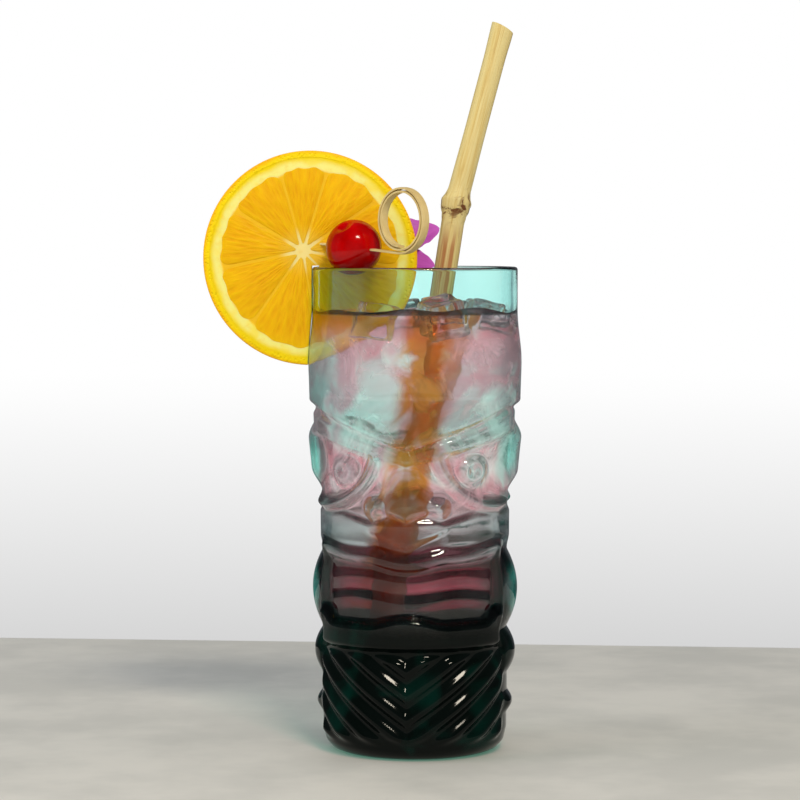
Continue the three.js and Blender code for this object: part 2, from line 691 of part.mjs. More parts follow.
// ---- Assembly ----
const finishes = {
  glass: { color: 0x5fd0c4, roughness: 0.05, metalness: 0, transparent: true, opacity: 0.45 },
  drink: { color: 0x3a0a18, roughness: 0.1, metalness: 0 },
  ice: { color: 0xdfeef0, roughness: 0.15, metalness: 0 },
  bamboo: { color: 0xe6d38c, roughness: 0.5, metalness: 0 },
  rind: { color: 0xf5a800, roughness: 0.45, metalness: 0 },
  pith: { color: 0xf8e48c, roughness: 0.6, metalness: 0 },
  flesh: { color: 0xf0a010, roughness: 0.3, metalness: 0 },
  cherry: { color: 0xb00008, roughness: 0.12, metalness: 0 },
  petal: { color: 0xb455b4, roughness: 0.55, metalness: 0 },
  lip: { color: 0x8a2a86, roughness: 0.55, metalness: 0 },
  stem: { color: 0x6f9a4a, roughness: 0.6, metalness: 0 },
};

const group = new THREE.Group();
group.name = 'tiki_glass_drink';

function addPiece(name, geometry, finish, turn) {
  if (turn) geometry.rotateZ(turn * degree);
  const shaded = toCreasedNormals(geometry, 40 * degree);
  const mesh = new THREE.Mesh(shaded, new THREE.MeshStandardMaterial(finishes[finish]));
  mesh.name = name;
  group.add(mesh);
}

const pickGauge = toSolid(rod(onPick(-pickTail - 2, 0, 0).toArray(), onPick(cherryRadius + 3, 0, 0).toArray(),
  pickHole, 14));
const gauge = wallGauge().rotate([0, 0, -garnishTurn]);
const { solids: iceSolids, rooms: iceRooms } = makeIce();
const { pieces: orchidPieces, stem: orchidStem } = makeOrchid();

addPiece('tiki_glass', makeGlass(), 'glass', 0);
addPiece('drink', toGeometry(makeDrink(iceRooms, orchidStem)), 'drink', garnishTurn);
iceSolids.forEach((solid, index) => {
  addPiece(`ice_cube_${index + 1}`, toGeometry(solid), 'ice', garnishTurn);
});
addPiece('bamboo_straw', makeStraw(), 'bamboo', garnishTurn);
Object.entries(makeWheel(gauge, pickGauge)).forEach(([name, solid]) => {
  const finish = name.includes('segment') ? 'flesh' : name.slice('orange_'.length);
  addPiece(name, toGeometry(solid), finish, garnishTurn);
});
addPiece('cherry', toGeometry(makeCherry(pickGauge)), 'cherry', garnishTurn);
addPiece('loop_pick', makePick(), 'bamboo', garnishTurn);
Object.entries(orchidPieces).forEach(([name, geometry]) => {
  const greenery = name === 'orchid_stem' || name === 'orchid_column';
  addPiece(name, geometry, greenery ? 'stem' : name === 'orchid_lip' ? 'lip' : 'petal', garnishTurn);
});

export default group;
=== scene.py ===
import json
import math

import bpy
import numpy as np
from mathutils import Matrix, Vector


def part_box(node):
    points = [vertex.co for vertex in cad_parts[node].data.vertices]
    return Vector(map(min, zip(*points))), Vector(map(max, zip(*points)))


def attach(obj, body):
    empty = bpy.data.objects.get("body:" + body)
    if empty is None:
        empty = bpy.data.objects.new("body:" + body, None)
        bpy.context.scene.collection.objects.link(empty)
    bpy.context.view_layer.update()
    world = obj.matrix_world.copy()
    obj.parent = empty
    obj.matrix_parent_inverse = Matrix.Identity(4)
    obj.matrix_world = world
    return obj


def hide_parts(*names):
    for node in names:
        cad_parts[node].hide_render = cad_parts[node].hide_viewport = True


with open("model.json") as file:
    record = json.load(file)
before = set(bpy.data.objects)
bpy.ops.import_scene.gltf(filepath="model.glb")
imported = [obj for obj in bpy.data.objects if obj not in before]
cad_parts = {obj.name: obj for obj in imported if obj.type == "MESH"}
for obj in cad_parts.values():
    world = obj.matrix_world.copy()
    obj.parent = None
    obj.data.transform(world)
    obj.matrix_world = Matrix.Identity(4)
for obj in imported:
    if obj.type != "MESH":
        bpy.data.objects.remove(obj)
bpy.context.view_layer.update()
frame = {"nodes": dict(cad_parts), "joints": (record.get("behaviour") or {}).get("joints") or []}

mm = 0.001
print("frame loaded:", len(frame["nodes"]), "nodes")


# shader maths: wires add, subtract, multiply and divide with each other and with numbers
class Wire:
    def __init__(self, tree, socket=None):
        self.tree = tree
        self.socket = socket

    def node(self, kind, settings, sockets, output=0):
        made = self.tree.nodes.new("ShaderNode" + kind)
        for name, value in settings.items():
            if name == "stops":
                fillRamp(made.color_ramp, value)
            else:
                setattr(made, name, value)
        for name, value in sockets.items():
            if isinstance(value, Wire):
                self.tree.links.new(value.socket, made.inputs[name])
            else:
                made.inputs[name].default_value = value
        return Wire(self.tree, made.outputs[output])

    def math(self, operation, *values):
        return self.node("Math", {"operation": operation}, dict(enumerate(values)))

    def taken(self, operation):  # a one-input operation, such as SQRT
        return self.math(operation, self)

    def __add__(self, other):
        return self.math("ADD", self, other)

    def __radd__(self, other):
        return self.math("ADD", other, self)

    def __sub__(self, other):
        return self.math("SUBTRACT", self, other)

    def __rsub__(self, other):
        return self.math("SUBTRACT", other, self)

    def __mul__(self, other):
        return self.math("MULTIPLY", self, other)

    def __rmul__(self, other):
        return self.math("MULTIPLY", other, self)

    def __truediv__(self, other):
        return self.math("DIVIDE", self, other)

    def band(self, low, high):  # 0 below low, 1 above high, soft between
        settings = {"interpolation_type": "SMOOTHSTEP"}
        return self.node("MapRange", settings, {"Value": self, "From Min": low, "From Max": high})

    def mixed(self, a, b, blend="MIX"):  # this wire is the share of b
        settings = {"data_type": "RGBA", "blend_type": blend}
        return self.node("Mix", settings, {0: self, 6: a, 7: b}, 2)


def fillRamp(ramp, stops):
    while len(ramp.elements) < len(stops):
        ramp.elements.new(1)
    for element, (place, colour) in zip(ramp.elements, stops):
        element.position = place
    for element, (place, colour) in zip(ramp.elements, stops):
        element.color = colour


def paint(red, green, blue):  # display colour, 0 to 255, as the linear colour a socket takes
    linear = []
    for value in (red, green, blue):
        share = value / 255
        linear.append(share / 12.92 if share <= 0.04045 else ((share + 0.055) / 1.055) ** 2.4)
    return (*linear, 1)


def newMaterial(name):
    material = bpy.data.materials.new(name)
    material.use_nodes = True
    material.node_tree.nodes.clear()
    return material, Wire(material.node_tree)


def addOutput(start, surface, volume=None):
    sockets = {"Surface": surface}
    if volume:
        sockets["Volume"] = volume
    made = start.tree.nodes.new("ShaderNodeOutputMaterial")
    for name, value in sockets.items():
        start.tree.links.new(value.socket, made.inputs[name])


def noise(start, place, scale, detail=2, roughness=0.5, distortion=0):
    return start.node("TexNoise", {}, {"Vector": place, "Scale": scale, "Detail": detail,
                                       "Roughness": roughness, "Distortion": distortion})


def bumped(start, height, strength, distance):
    return start.node("Bump", {}, {"Height": height, "Strength": strength, "Distance": distance})


def parts(start, place):  # the wire's x, y and z
    return (start.node("SeparateXYZ", {}, {0: place}, k) for k in range(3))


def objectPlace(start, location=(0, 0, 0), rotation=(0, 0, 0), scale=(1, 1, 1)):
    place = start.node("TexCoord", {}, {}, 3)
    sockets = {"Vector": place, "Location": location, "Rotation": rotation, "Scale": scale}
    return start.node("Mapping", {"vector_type": "POINT"}, sockets)


def letLampsThrough(start, surface, tint):  # lamps light what stands in and behind the glass
    shadow = start.node("LightPath", {}, {}, 1)
    clear = start.node("BsdfTransparent", {}, {"Color": tint})
    return start.node("MixShader", {}, {0: shadow, 1: surface, 2: clear})


# pieces
def startPiece():
    if bpy.context.mode != "OBJECT":
        bpy.ops.object.mode_set(mode="OBJECT")
    bpy.ops.object.select_all(action="DESELECT")


def settle(piece, name, material, body, nodes, smoothAngle=40):
    startPiece()
    piece.select_set(True)
    bpy.context.view_layer.objects.active = piece
    bpy.ops.object.transform_apply(location=True, rotation=True, scale=True)
    piece.name = name
    piece.data.name = name
    piece.data.materials.clear()
    piece.data.materials.append(material)
    bpy.ops.object.shade_smooth_by_angle(angle=math.radians(smoothAngle))
    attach(piece, body)
    if nodes:
        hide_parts(*nodes)
    return piece


def points(piece):
    flat = np.zeros(len(piece.data.vertices) * 3)
    piece.data.vertices.foreach_get("co", flat)
    return flat.reshape(-1, 3)


def movePoints(piece, moved):
    piece.data.vertices.foreach_set("co", np.ascontiguousarray(moved, float).ravel())
    piece.data.update()


def rolledGrid(around, along, place):  # a grid rolled into a closed skin, its ends drawn to poles
    startPiece()
    bpy.ops.mesh.primitive_grid_add(x_subdivisions=around, y_subdivisions=along, size=1)
    piece = bpy.context.active_object
    flat = points(piece)
    movePoints(piece, place(flat[:, 0] + 0.5, flat[:, 1] + 0.5))
    bpy.ops.object.mode_set(mode="EDIT")
    bpy.ops.mesh.select_all(action="SELECT")
    bpy.ops.mesh.remove_doubles(threshold=1e-6)
    bpy.ops.mesh.normals_make_consistent(inside=False)
    bpy.ops.object.mode_set(mode="OBJECT")
    return piece


def copyOfNode(node):  # a merged copy of a CAD node, to be refined
    startPiece()
    mesh = frame["nodes"][node].data.copy()
    piece = bpy.data.objects.new(node + "_copy", mesh)
    bpy.context.scene.collection.objects.link(piece)
    piece.select_set(True)
    bpy.context.view_layer.objects.active = piece
    bpy.ops.object.mode_set(mode="EDIT")
    bpy.ops.mesh.select_all(action="SELECT")
    bpy.ops.mesh.remove_doubles(threshold=2e-6)
    bpy.ops.mesh.dissolve_limited(angle_limit=math.radians(1))
    bpy.ops.object.mode_set(mode="OBJECT")
    return piece


def applied(piece, kind, **settings):
    bpy.context.view_layer.objects.active = piece
    modifier = piece.modifiers.new(kind.lower(), kind)
    for name, value in settings.items():
        setattr(modifier, name, value)
    bpy.ops.object.modifier_apply(modifier=modifier.name)


# soft steps and bumps, as used for the relief
def ease(value, low, high):
    t = np.clip((value - low) / (high - low), 0, 1)
    return t * t * (3 - 2 * t)


def bump(distance, half):
    t = np.clip(np.abs(distance) / half, 0, 1)
    return (1 - t * t) ** 2


def dome(distance, edge):
    return ease(1 - distance, 0, edge)


# idol glass: a plain tumbler above, a carved face pressed into the wall below, the same front and back
glass = {
    "height": 165,  # mm, as everything in this dictionary
    "rim": 35,
    "wall": 2,
    "floor": 12,
    "body": [[165, 35], [150, 35], [133, 36.4], [122, 36.1], [116.5, 33.5], [90, 31.6], [44, 31.3],
             [24, 31.6], [8, 31.4], [3.5, 30.4], [1.2, 28.4], [0, 25.5]],
    "bore": [[165, 33], [132, 32.6], [116, 30.8], [98, 29.4], [70, 28.9], [44, 28.7], [24, 27.6],
             [17, 26.2], [13.4, 22.5], [12, 17]],
    "around": 280,
    "tints": [(0.0, (0.01, 0.04, 0.033, 1)), (0.2, (0.01, 0.05, 0.04, 1)), (0.262, (0.95, 0.99, 0.98, 1)),
              (0.895, (0.96, 0.995, 0.99, 1)), (0.925, (0.82, 0.955, 0.945, 1)),
              (1.0, (0.82, 0.955, 0.945, 1))],
    "smoke": (0.0015, 0.003, 0.0025, 1),
    "smokeTop": 0.047,  # metres
    "thickTint": (0.25, 0.84, 0.77, 1),
    "thickness": 125,  # how fast the volume takes light away, per metre
    "lampTint": (0.92, 0.96, 0.95, 1),
    # painted light: the colour of the ears' teal glow
    "earGlow": (0.01, 0.42, 0.33, 1),
    "earHeight": 0.056,  # metres
    "glint": (0.001, 0.014, 0.01, 1),
}


face = {
    "frontBack": 90,  # degrees from the nose line to the middle of an ear
    "across": 0.576,  # mm for a degree of turn
    "browLow": 100.4,  # mm, at the nose line
    "browHigh": 103.8,
    "browTurn": 68,  # degrees over which the brow rises
    "browStands": 2.3,
    "eye": (24.5, 97),  # mm across and up
    "eyeRing": (34.5, 107.5),
    "cheekBall": (11.4, 85.2),
    "mouthTop": 69,
    "mouthLow": 46.6,
    "lips": (60.8, 53.6),
    "lipStands": 0.55,
    "ear": (55.6, 13.2, 3.7),  # mm: height of its middle, half its length, how far it stands out
    "lobe": (34.5, 7.8, 2.9),
    "footBead": (16.8, 4.4, 1.9),
    "strokeSlope": 0.68,
    "strokeStep": 8.2,
    "strokeStands": 1.7,
    "plainFrom": (121, 124),  # mm: the relief ends between these heights
}


def alongProfile(profile, z, softFrom):
    z = np.asarray(z, float)
    radius = np.full(z.shape, float(profile[-1][1]))
    for (highZ, highR), (lowZ, lowR) in zip(profile[:-1], profile[1:]):
        share = ease(z, lowZ, highZ) if lowZ >= softFrom else (z - lowZ) / (highZ - lowZ)
        radius = np.where((z >= lowZ) & (z <= highZ), lowR + (highR - lowR) * share, radius)
    return radius


def boreAt(z):
    return alongProfile(glass["bore"], z, glass["height"])


def browLow(turn):
    return face["browLow"] + 8.8 * np.clip(turn / face["browTurn"], 0, 1)


def foreheadAndBrow(turn, z):
    top = face["browHigh"] + 14.4 * np.clip(turn / face["browTurn"], 0, 1)
    low = browLow(turn)
    plain = alongProfile(glass["body"], z, 8)
    height = np.maximum(0, 36.05 - plain) * ease(z, top - 0.6, top + 2)
    half = (top - low) / 2 + 1.2
    fade = 1 - 0.95 * ease(turn, 66, 86)
    height += face["browStands"] * dome(np.abs(z - (top + low) / 2 + 0.6) / half, 0.6) * fade
    return height + 3.4 * dome(np.hypot((face["frontBack"] - turn) / 27, (z - 101.5) / 13.6), 0.6)


def eye(turn, across, z):
    ringAcross, ringUp = face["eyeRing"]
    eyeAcross, eyeUp = face["eye"]
    ring = np.hypot((across - ringAcross) / 25, (z - ringUp) / 22.6)
    height = 2.3 * bump(ring - 1, 0.12) * ease(across, 6, 11) * (1 - ease(turn, 70, 84))
    height -= 0.6 * ease(0.92 - ring, 0, 0.1) * (1 - ease(turn, 62, 70))
    height += 2.7 * dome(np.hypot((across - eyeAcross) / 8.4, (z - eyeUp) / 6.6), 0.7)
    pupil = 1.2 * bump(np.hypot(across - eyeAcross + 0.9, (z - eyeUp - 0.2) * 0.8), 3)
    return height * ease(browLow(turn) - z, -1, 1.6) - pupil


def noseAndCheek(turn, across, z):
    half = 2 + 7.6 * ease(103 - z, 0, 16) + 3.2 * ease(92 - z, 0, 8)
    under = 80.8 + 0.34 * across
    crest = np.clip(1 - np.hypot(across / half, 0.12), 0, 1)
    height = (0.9 + 3.9 * ease(104 - z, 0, 18)) * crest * ease(z, under - 1, under + 2)
    height *= ease(107 - z, 0, 5)
    height += 2.5 * dome(np.hypot(across - face["cheekBall"][0], z - face["cheekBall"][1]) / 5.2, 0.9)
    point = 71.8 + 0.4 * across
    height += 1.3 * ease(z, point - 1.2, point + 1.2) * ease(82.5 - z, 0, 3) * (1 - ease(across, 11, 15))
    fold = 77.8 + 0.24 * np.minimum(across, 25)
    cheek = 1.4 * ease(fold - z, -0.4, 2) * ease(z, 69.5, 74) * ease(across, 11, 15)
    return height + cheek * (1 - 0.5 * ease(turn, 60, 82))


def mouth(turn, z):
    top = face["mouthTop"] - 2.4 * bump(turn, 26) + 1.6 * ease(turn, 30, 66)
    low = face["mouthLow"] + 2.4 * bump(turn, 24) + 4 * ease(turn, 50, 66)
    side = ease(69 - turn, 0, 5)
    height = -0.9 * ease(top - 3.2 - z, -1.6, 1.6) * ease(z, low - 1, low + 1) * side
    height += 1.6 * bump(z - top - 0.2, 3.6) * side
    wave = z + 0.9 * np.cos(np.radians(turn) * 5.5)
    lips = bump(wave - face["lips"][0], 3.6) + bump(wave - face["lips"][1], 3.8)
    height += face["lipStands"] * lips * (1 - ease(turn, 56, 64))
    height += 2.3 * ease(low - z, -0.8, 2) * ease(z, 36.2, 39.6) * (1 - ease(turn, 62, 71))
    return height + 1.4 * bump(turn - 66, 5) * ease(z, 42, 49) * ease(73 - z, 0, 6)


def earAndBeard(turn, across, z):
    height = 0
    for (middle, half, stands), width in ((face["ear"], 22.5), (face["lobe"], 18)):
        along = np.clip(1 - ((z - middle) / half) ** 2, 0, 1)
        around = np.clip(1 - ((face["frontBack"] - turn) / width) ** 2, 0, 1)
        height = height + stands * np.sqrt(around) * along
    stroke = 0.5 + 0.5 * np.cos((z - face["strokeSlope"] * across - 14) / face["strokeStep"] * 2 * np.pi)
    height += face["strokeStands"] * stroke * ease(z, 4, 9) * ease(36.4 - z, 0, 3) * (1 - ease(turn, 64, 78))
    middle, half, stands = face["footBead"]
    return height + stands * bump(z - middle, half) * ease(turn, 68, 84)


def outsideAt(angle, z):  # angle in degrees from +X; the turn counts from the nose line
    turn = np.abs((angle + 90 + 540) % 360 - 180)
    turn = np.minimum(turn, 180 - turn)
    across = turn * face["across"]
    relief = foreheadAndBrow(turn, z) + eye(turn, across, z) + noseAndCheek(turn, across, z)
    relief += mouth(turn, z) + earAndBeard(turn, across, z)
    return alongProfile(glass["body"], z, 8) + relief * ease(z, 2.5, 6) * (1 - ease(z, *face["plainFrom"]))


def makeGlass():
    height, rim, wall = glass["height"], glass["rim"], glass["wall"]
    outer = np.concatenate([[0.3, 1.2, 2.2, 3.2], np.arange(4, 124.2, 0.5),
                            np.linspace(127, height - 1.3, 14), [height - 1]])
    inner = np.concatenate([[height - 1], np.linspace(height - 1.3, 26, 40),
                            [24, 20, 17, 15, 13.4, 12.6, 12]])
    lip = np.linspace(0, np.pi, 9)[1:-1]
    rows = [(0, 0, False), (9, 0, False), (18, 0, False), (25, 0, False)]
    rows += [(0, z, True) for z in outer]
    rows += [(rim - wall / 2 + wall / 2 * np.cos(t), height - 1 + np.sin(t), False) for t in lip]
    rows += [(float(boreAt(z)), z, False) for z in inner]
    rows += [(12, glass["floor"], False), (6, glass["floor"], False), (0, glass["floor"], False)]
    radii, heights, carved = (np.array(column) for column in zip(*rows))

    def place(u, v):
        row = np.rint(v * (len(rows) - 1)).astype(int)
        angle = u * 360
        radius = np.where(carved[row], outsideAt(angle, heights[row]), radii[row])
        turn = np.radians(angle)
        return np.stack([radius * np.cos(turn), radius * np.sin(turn), heights[row]], 1) * mm

    return rolledGrid(glass["around"], len(rows) - 1, place)


def glassMaterial():
    material, start = newMaterial("tealPressedGlass")
    place = objectPlace(start)
    waves = noise(start, place, 60, 2)
    smears = noise(start, place, 22, 3)
    across, _, height = parts(start, place)
    share = height / (glass["height"] * mm)
    tint = start.node("ValToRGB", {"stops": glass["tints"]}, {0: share + (smears - 0.5) * 0.03})
    level = height + (smears - 0.5) * 0.008
    fromEar = (level - glass["earHeight"]).taken("ABSOLUTE")
    ears = across.taken("ABSOLUTE").band(0.031, 0.0352) * (1 - fromEar.band(0.004, 0.0115))
    # painted light: the ears glow teal through Emission, standing in for light coming through them
    glow = (ears * waves.band(0.3, 0.6)).mixed((0, 0, 0, 1), glass["earGlow"])
    shell = start.node("BsdfPrincipled", {}, {
        "Base Color": tint, "Transmission Weight": 1.0, "IOR": 1.5, "Emission Color": glow,
        "Emission Strength": 0.3, "Roughness": 0.012 + smears.band(0.5, 0.9) * 0.03,
        "Normal": bumped(start, waves, 0.06, 0.002)})
    teal = noise(start, place, 60, 2, 0.5, 0.6).band(0.5, 0.75)
    smoke = start.node("BsdfPrincipled", {}, {
        "Base Color": teal.mixed(glass["smoke"], glass["glint"]), "Roughness": 0.05 + smears * 0.04,
        "Specular IOR Level": 0.13, "Normal": bumped(start, waves, 0.06, 0.002)})
    clear = level.band(glass["smokeTop"] - 0.006, glass["smokeTop"] + 0.003)
    shaded = start.node("MixShader", {}, {0: clear, 1: smoke, 2: shell})
    body = start.node("VolumeAbsorption", {}, {"Color": glass["thickTint"], "Density": glass["thickness"]})
    addOutput(start, letLampsThrough(start, shaded, glass["lampTint"]), body)
    return material


settle(makeGlass(), "tikiGlass", glassMaterial(), "glass", ["tiki_glass"], 60)
print("glass made")

# drink: pale and icy above, wine red at the mouth, black below it
drink = {
    "level": 150,  # mm
    "foot": 12.1,
    "overlap": 0.12,  # the drink wets the wall
    "around": 160,
    "meniscus": 1.1,
    "depths": [(0.0, (0.001, 0.0003, 0.0004, 1)), (0.28, (0.001, 0.0003, 0.0004, 1)),
               (0.305, (0.01, 0.001, 0.002, 1)), (0.34, (0.1, 0.006, 0.012, 1)),
               (0.385, (0.34, 0.035, 0.06, 1)), (0.415, (0.09, 0.006, 0.01, 1)),
               (0.445, (0.1, 0.008, 0.013, 1)), (0.46, (0.3, 0.09, 0.11, 1)),
               (0.5, (0.72, 0.42, 0.45, 1)), (0.55, (0.85, 0.42, 0.46, 1)), (0.65, (1.0, 0.66, 0.69, 1)),
               (0.85, (1.0, 0.74, 0.76, 1)), (1.0, (1.0, 0.86, 0.87, 1))],
    "pink": (1.0, 0.46, 0.53, 1),
    "grey": (0.72, 0.84, 0.84, 1),
    # painted shade: the dark waterline colour
    "paintedRimShade": (0.05, 0.06, 0.06, 1),
    "lampTint": (0.6, 0.48, 0.48, 1),
    # painted refraction: the next two colours paint the straw's magnified image; the second also glows
    "strawImage": (0.7, 0.1, 0.006, 1),
    "strawImageGlow": (0.85, 0.26, 0.05, 1),
    # painted light: these frost colours also colour the milky shader's glow
    "frostAndGlow": (1.0, 0.8, 0.81, 1),
    "blushAndGlow": (1.0, 0.42, 0.5, 1),
    "strawImagePath": (-0.0155, 0.4, -2.1, 0.052),  # metres: start, slope, bend, height of the start
    "strawImageHalf": 0.0085,
    "turn": 5,
}


def makeDrink():
    level, foot = drink["level"], drink["foot"]
    wall = np.concatenate([[13.4, 15, 17, 20, 24], np.arange(28, level - 2, 2),
                           np.linspace(level - 1, level, 3)])
    rows = [(0, foot), (8, foot), (15, foot)]
    rows += [(float(boreAt(z)) + drink["overlap"], z) for z in wall]
    rows += [(float(boreAt(level)) * share, level) for share in np.linspace(0.985, 0, 26)]
    radii, heights = (np.array(column, float) for column in zip(*rows))
    topRadius = float(boreAt(level))

    def place(u, v):
        row = np.rint(v * (len(rows) - 1)).astype(int)
        angle = u * 2 * np.pi
        radius, z = radii[row], heights[row].copy()
        x, y = radius * np.cos(angle), radius * np.sin(angle)
        atTop = np.clip((z - level + 1) / 1, 0, 1)
        climb = drink["meniscus"] * np.exp(-(topRadius - np.minimum(radius, topRadius)) / 1.4)
        ripple = 0.45 * np.sin(x * 0.31 + 1.3) + 0.4 * np.sin(y * 0.36 - x * 0.12) - 0.3 * np.cos(3 * angle)
        z += atTop * (climb + ripple - 0.4)
        return np.stack([x, y, z], 1) * mm

    return rolledGrid(drink["around"], len(rows) - 1, place)


def paintedStrawImage(start):  # painted refraction: the submerged straw's magnified image, an amber band on the drink's front
    place = objectPlace(start, (0, 0, 0), (0, 0, -math.radians(drink["turn"])))
    across, back, height = parts(start, place)
    first, slope, bend, low = drink["strawImagePath"]
    rise = height - low
    off = across - (rise * slope + rise * rise * bend + first)
    wander = noise(start, place, 75, 3, 0.55, 0.6)
    spread = off.taken("ABSOLUTE") + (wander - 0.5) * 0.013
    front = 1 - back.band(-0.012, 0.0)
    cloud = 1 - spread.band(drink["strawImageHalf"] - 0.0035, drink["strawImageHalf"] + 0.0015)
    return cloud * front * wander.band(0.3, 0.5)


def drinkMaterial():
    material, start = newMaterial("icedDrink")
    place = objectPlace(start)
    x, y, z = parts(start, place)
    depth = z / (drink["level"] * mm)
    wander = noise(start, place, 38, 2)
    tone = start.node("ValToRGB", {"stops": drink["depths"]}, {0: depth + (wander - 0.5) * 0.03})
    pinkPatch = noise(start, place, 40, 3, 0.5, 0.8).band(0.42, 0.58)
    greyPatch = noise(start, objectPlace(start, (0.3, 0.1, 0.7)), 60, 3, 0.6, 0.8).band(0.5, 0.7)
    whitePatch = noise(start, objectPlace(start, (0.7, 0.4, 0.2)), 48, 4, 0.55, 1.2).band(0.46, 0.66)
    # painted refraction of the straw, seen at the front only
    strawImage = paintedStrawImage(start)
    upper = depth.band(0.5, 0.62)
    pink = (pinkPatch * upper).mixed(tone, drink["pink"], "MULTIPLY")
    grey = (greyPatch * upper * 0.6).mixed(pink, drink["grey"], "MULTIPLY")
    browned = strawImage.mixed(grey, drink["strawImage"], "MULTIPLY")
    # painted shade: a dark line on the drink where it meets the wall, standing in for the meniscus's dark
    # edge
    atWall = (x * x + y * y).taken("SQRT").band(0.0308, 0.0316)
    rimShaded = (atWall * z.band(0.1487, 0.1495)).mixed(browned, drink["paintedRimShade"], "MULTIPLY")
    swell = noise(start, place, 48, 1, 0.4, 0.2)
    crackle = noise(start, place, 150, 2, 0.5, 0.4)
    blur = whitePatch * 0.12 + pinkPatch * 0.06 + 0.05
    relief = bumped(start, swell + crackle * 0.07, 0.35, 0.006)
    clear = start.node("BsdfPrincipled", {}, {
        "Base Color": rimShaded, "Transmission Weight": 1.0, "IOR": 1.33, "Roughness": blur, "Normal": relief})
    # painted light: the milky shader glows, standing in for light scattered through the ice from behind
    frostAndGlow = strawImage.mixed(pinkPatch.mixed(drink["frostAndGlow"], drink["blushAndGlow"]), drink["strawImageGlow"])
    milky = start.node("BsdfPrincipled", {}, {
        "Base Color": frostAndGlow, "Roughness": blur + 0.3, "Emission Color": frostAndGlow, "Emission Strength": 0.42,
        "Specular IOR Level": 0.2, "Normal": relief})
    cloudy = upper * (1 - depth.band(0.9, 0.985))
    body = start.node("MixShader", {}, {0: (whitePatch * 0.42 + 0.16) * cloudy, 1: clear, 2: milky})
    addOutput(start, letLampsThrough(start, body, drink["lampTint"]))
    return material


settle(makeDrink(), "icedDrink", drinkMaterial(), "glass", ["drink"], 60)
print("drink made")

# ice: the CAD cubes with their edges melted round
ice = {
    "edge": 1.2,  # mm
    "melt": 24,  # smoothing steps
    "dent": 0.25,  # mm
    "filled": 0.97,  # share of the cube's box
    "bodies": {1: "ice_front", 2: "ice_right", 3: "ice_middle"},  # the others stay with the glass
}


def iceMaterial():
    material, start = newMaterial("clearIce")
    place = objectPlace(start)
    cloud = noise(start, place, 120, 3, 0.6, 0.5)
    bubbles = start.node("TexVoronoi", {}, {"Vector": place, "Scale": 700})
    milky = cloud.band(0.5, 0.72)
    skin = start.node("BsdfPrincipled", {}, {
        "Base Color": milky.mixed((0.97, 0.99, 0.99, 1), (0.86, 0.9, 0.91, 1)), "Transmission Weight": 1.0,
        "IOR": 1.25, "Roughness": milky * 0.22 + 0.02,
        "Normal": bumped(start, cloud + bubbles * 0.15, 0.3, 0.001)})
    addOutput(start, letLampsThrough(start, skin, (0.94, 0.96, 0.96, 1)))
    return material


clearIce = iceMaterial()
for count in range(1, 8):
    node = f"ice_cube_{count}"
    piece = copyOfNode(node)
    applied(piece, "BEVEL", width=ice["edge"] * mm, segments=2, limit_method="ANGLE")
    applied(piece, "SUBSURF", levels=2, render_levels=2)
    full = points(piece)
    applied(piece, "SMOOTH", factor=0.6, iterations=ice["melt"])
    shape = points(piece)
    centre = shape.mean(0)
    grown = (shape - centre) * (np.ptp(full, axis=0) / np.ptp(shape, axis=0) * ice["filled"])
    waves = np.sin(shape[:, 0] * 620 + count) + np.sin(shape[:, 1] * 540 - count) + np.sin(shape[:, 2] * 700)
    inward = grown / np.linalg.norm(grown, axis=1)[:, None] * (ice["dent"] * mm * (3 + waves))[:, None]
    movePoints(piece, centre + grown - inward)
    settle(piece, f"iceCube{count}", clearIce, ice["bodies"].get(count, "glass"), [node], 60)
print("ice made")

# bamboo straw: it stands on the glass's floor, bends a little at its node, and is cut slantwise
straw = {
    "foot": (-12.04, -8.43, 13.74),  # mm
    "knee": (11.41, 32.25, 186),
    "tip": (27.02, 46.9, 249),
    "radius": 4.1,
    "taper": 0.3,
    "bore": 2.1,
    "around": 48,
    "slant": 0.28,
    "dry": [(0.3, paint(166, 130, 66)), (0.42, paint(204, 178, 108)), (0.55, paint(216, 199, 138)),
            (0.7, paint(200, 176, 110)), (0.8, paint(220, 205, 150))],
    "soaked": [(0.0, paint(84, 48, 24)), (0.3, paint(112, 66, 26)), (0.45, paint(186, 106, 38)),
               (0.75, paint(212, 136, 58)), (1.0, paint(206, 154, 92))],
}


def strawRadiusAt(z):
    knee = straw["knee"][2]
    swell = 1.15 * bump(z - knee, 6) + 0.35 * bump(z - knee - 1.5, 1.6) - 0.3 * bump(z - knee + 3, 1.2)
    taper = straw["taper"] * ease(z, knee, knee + 30)
    return straw["radius"] + swell - taper


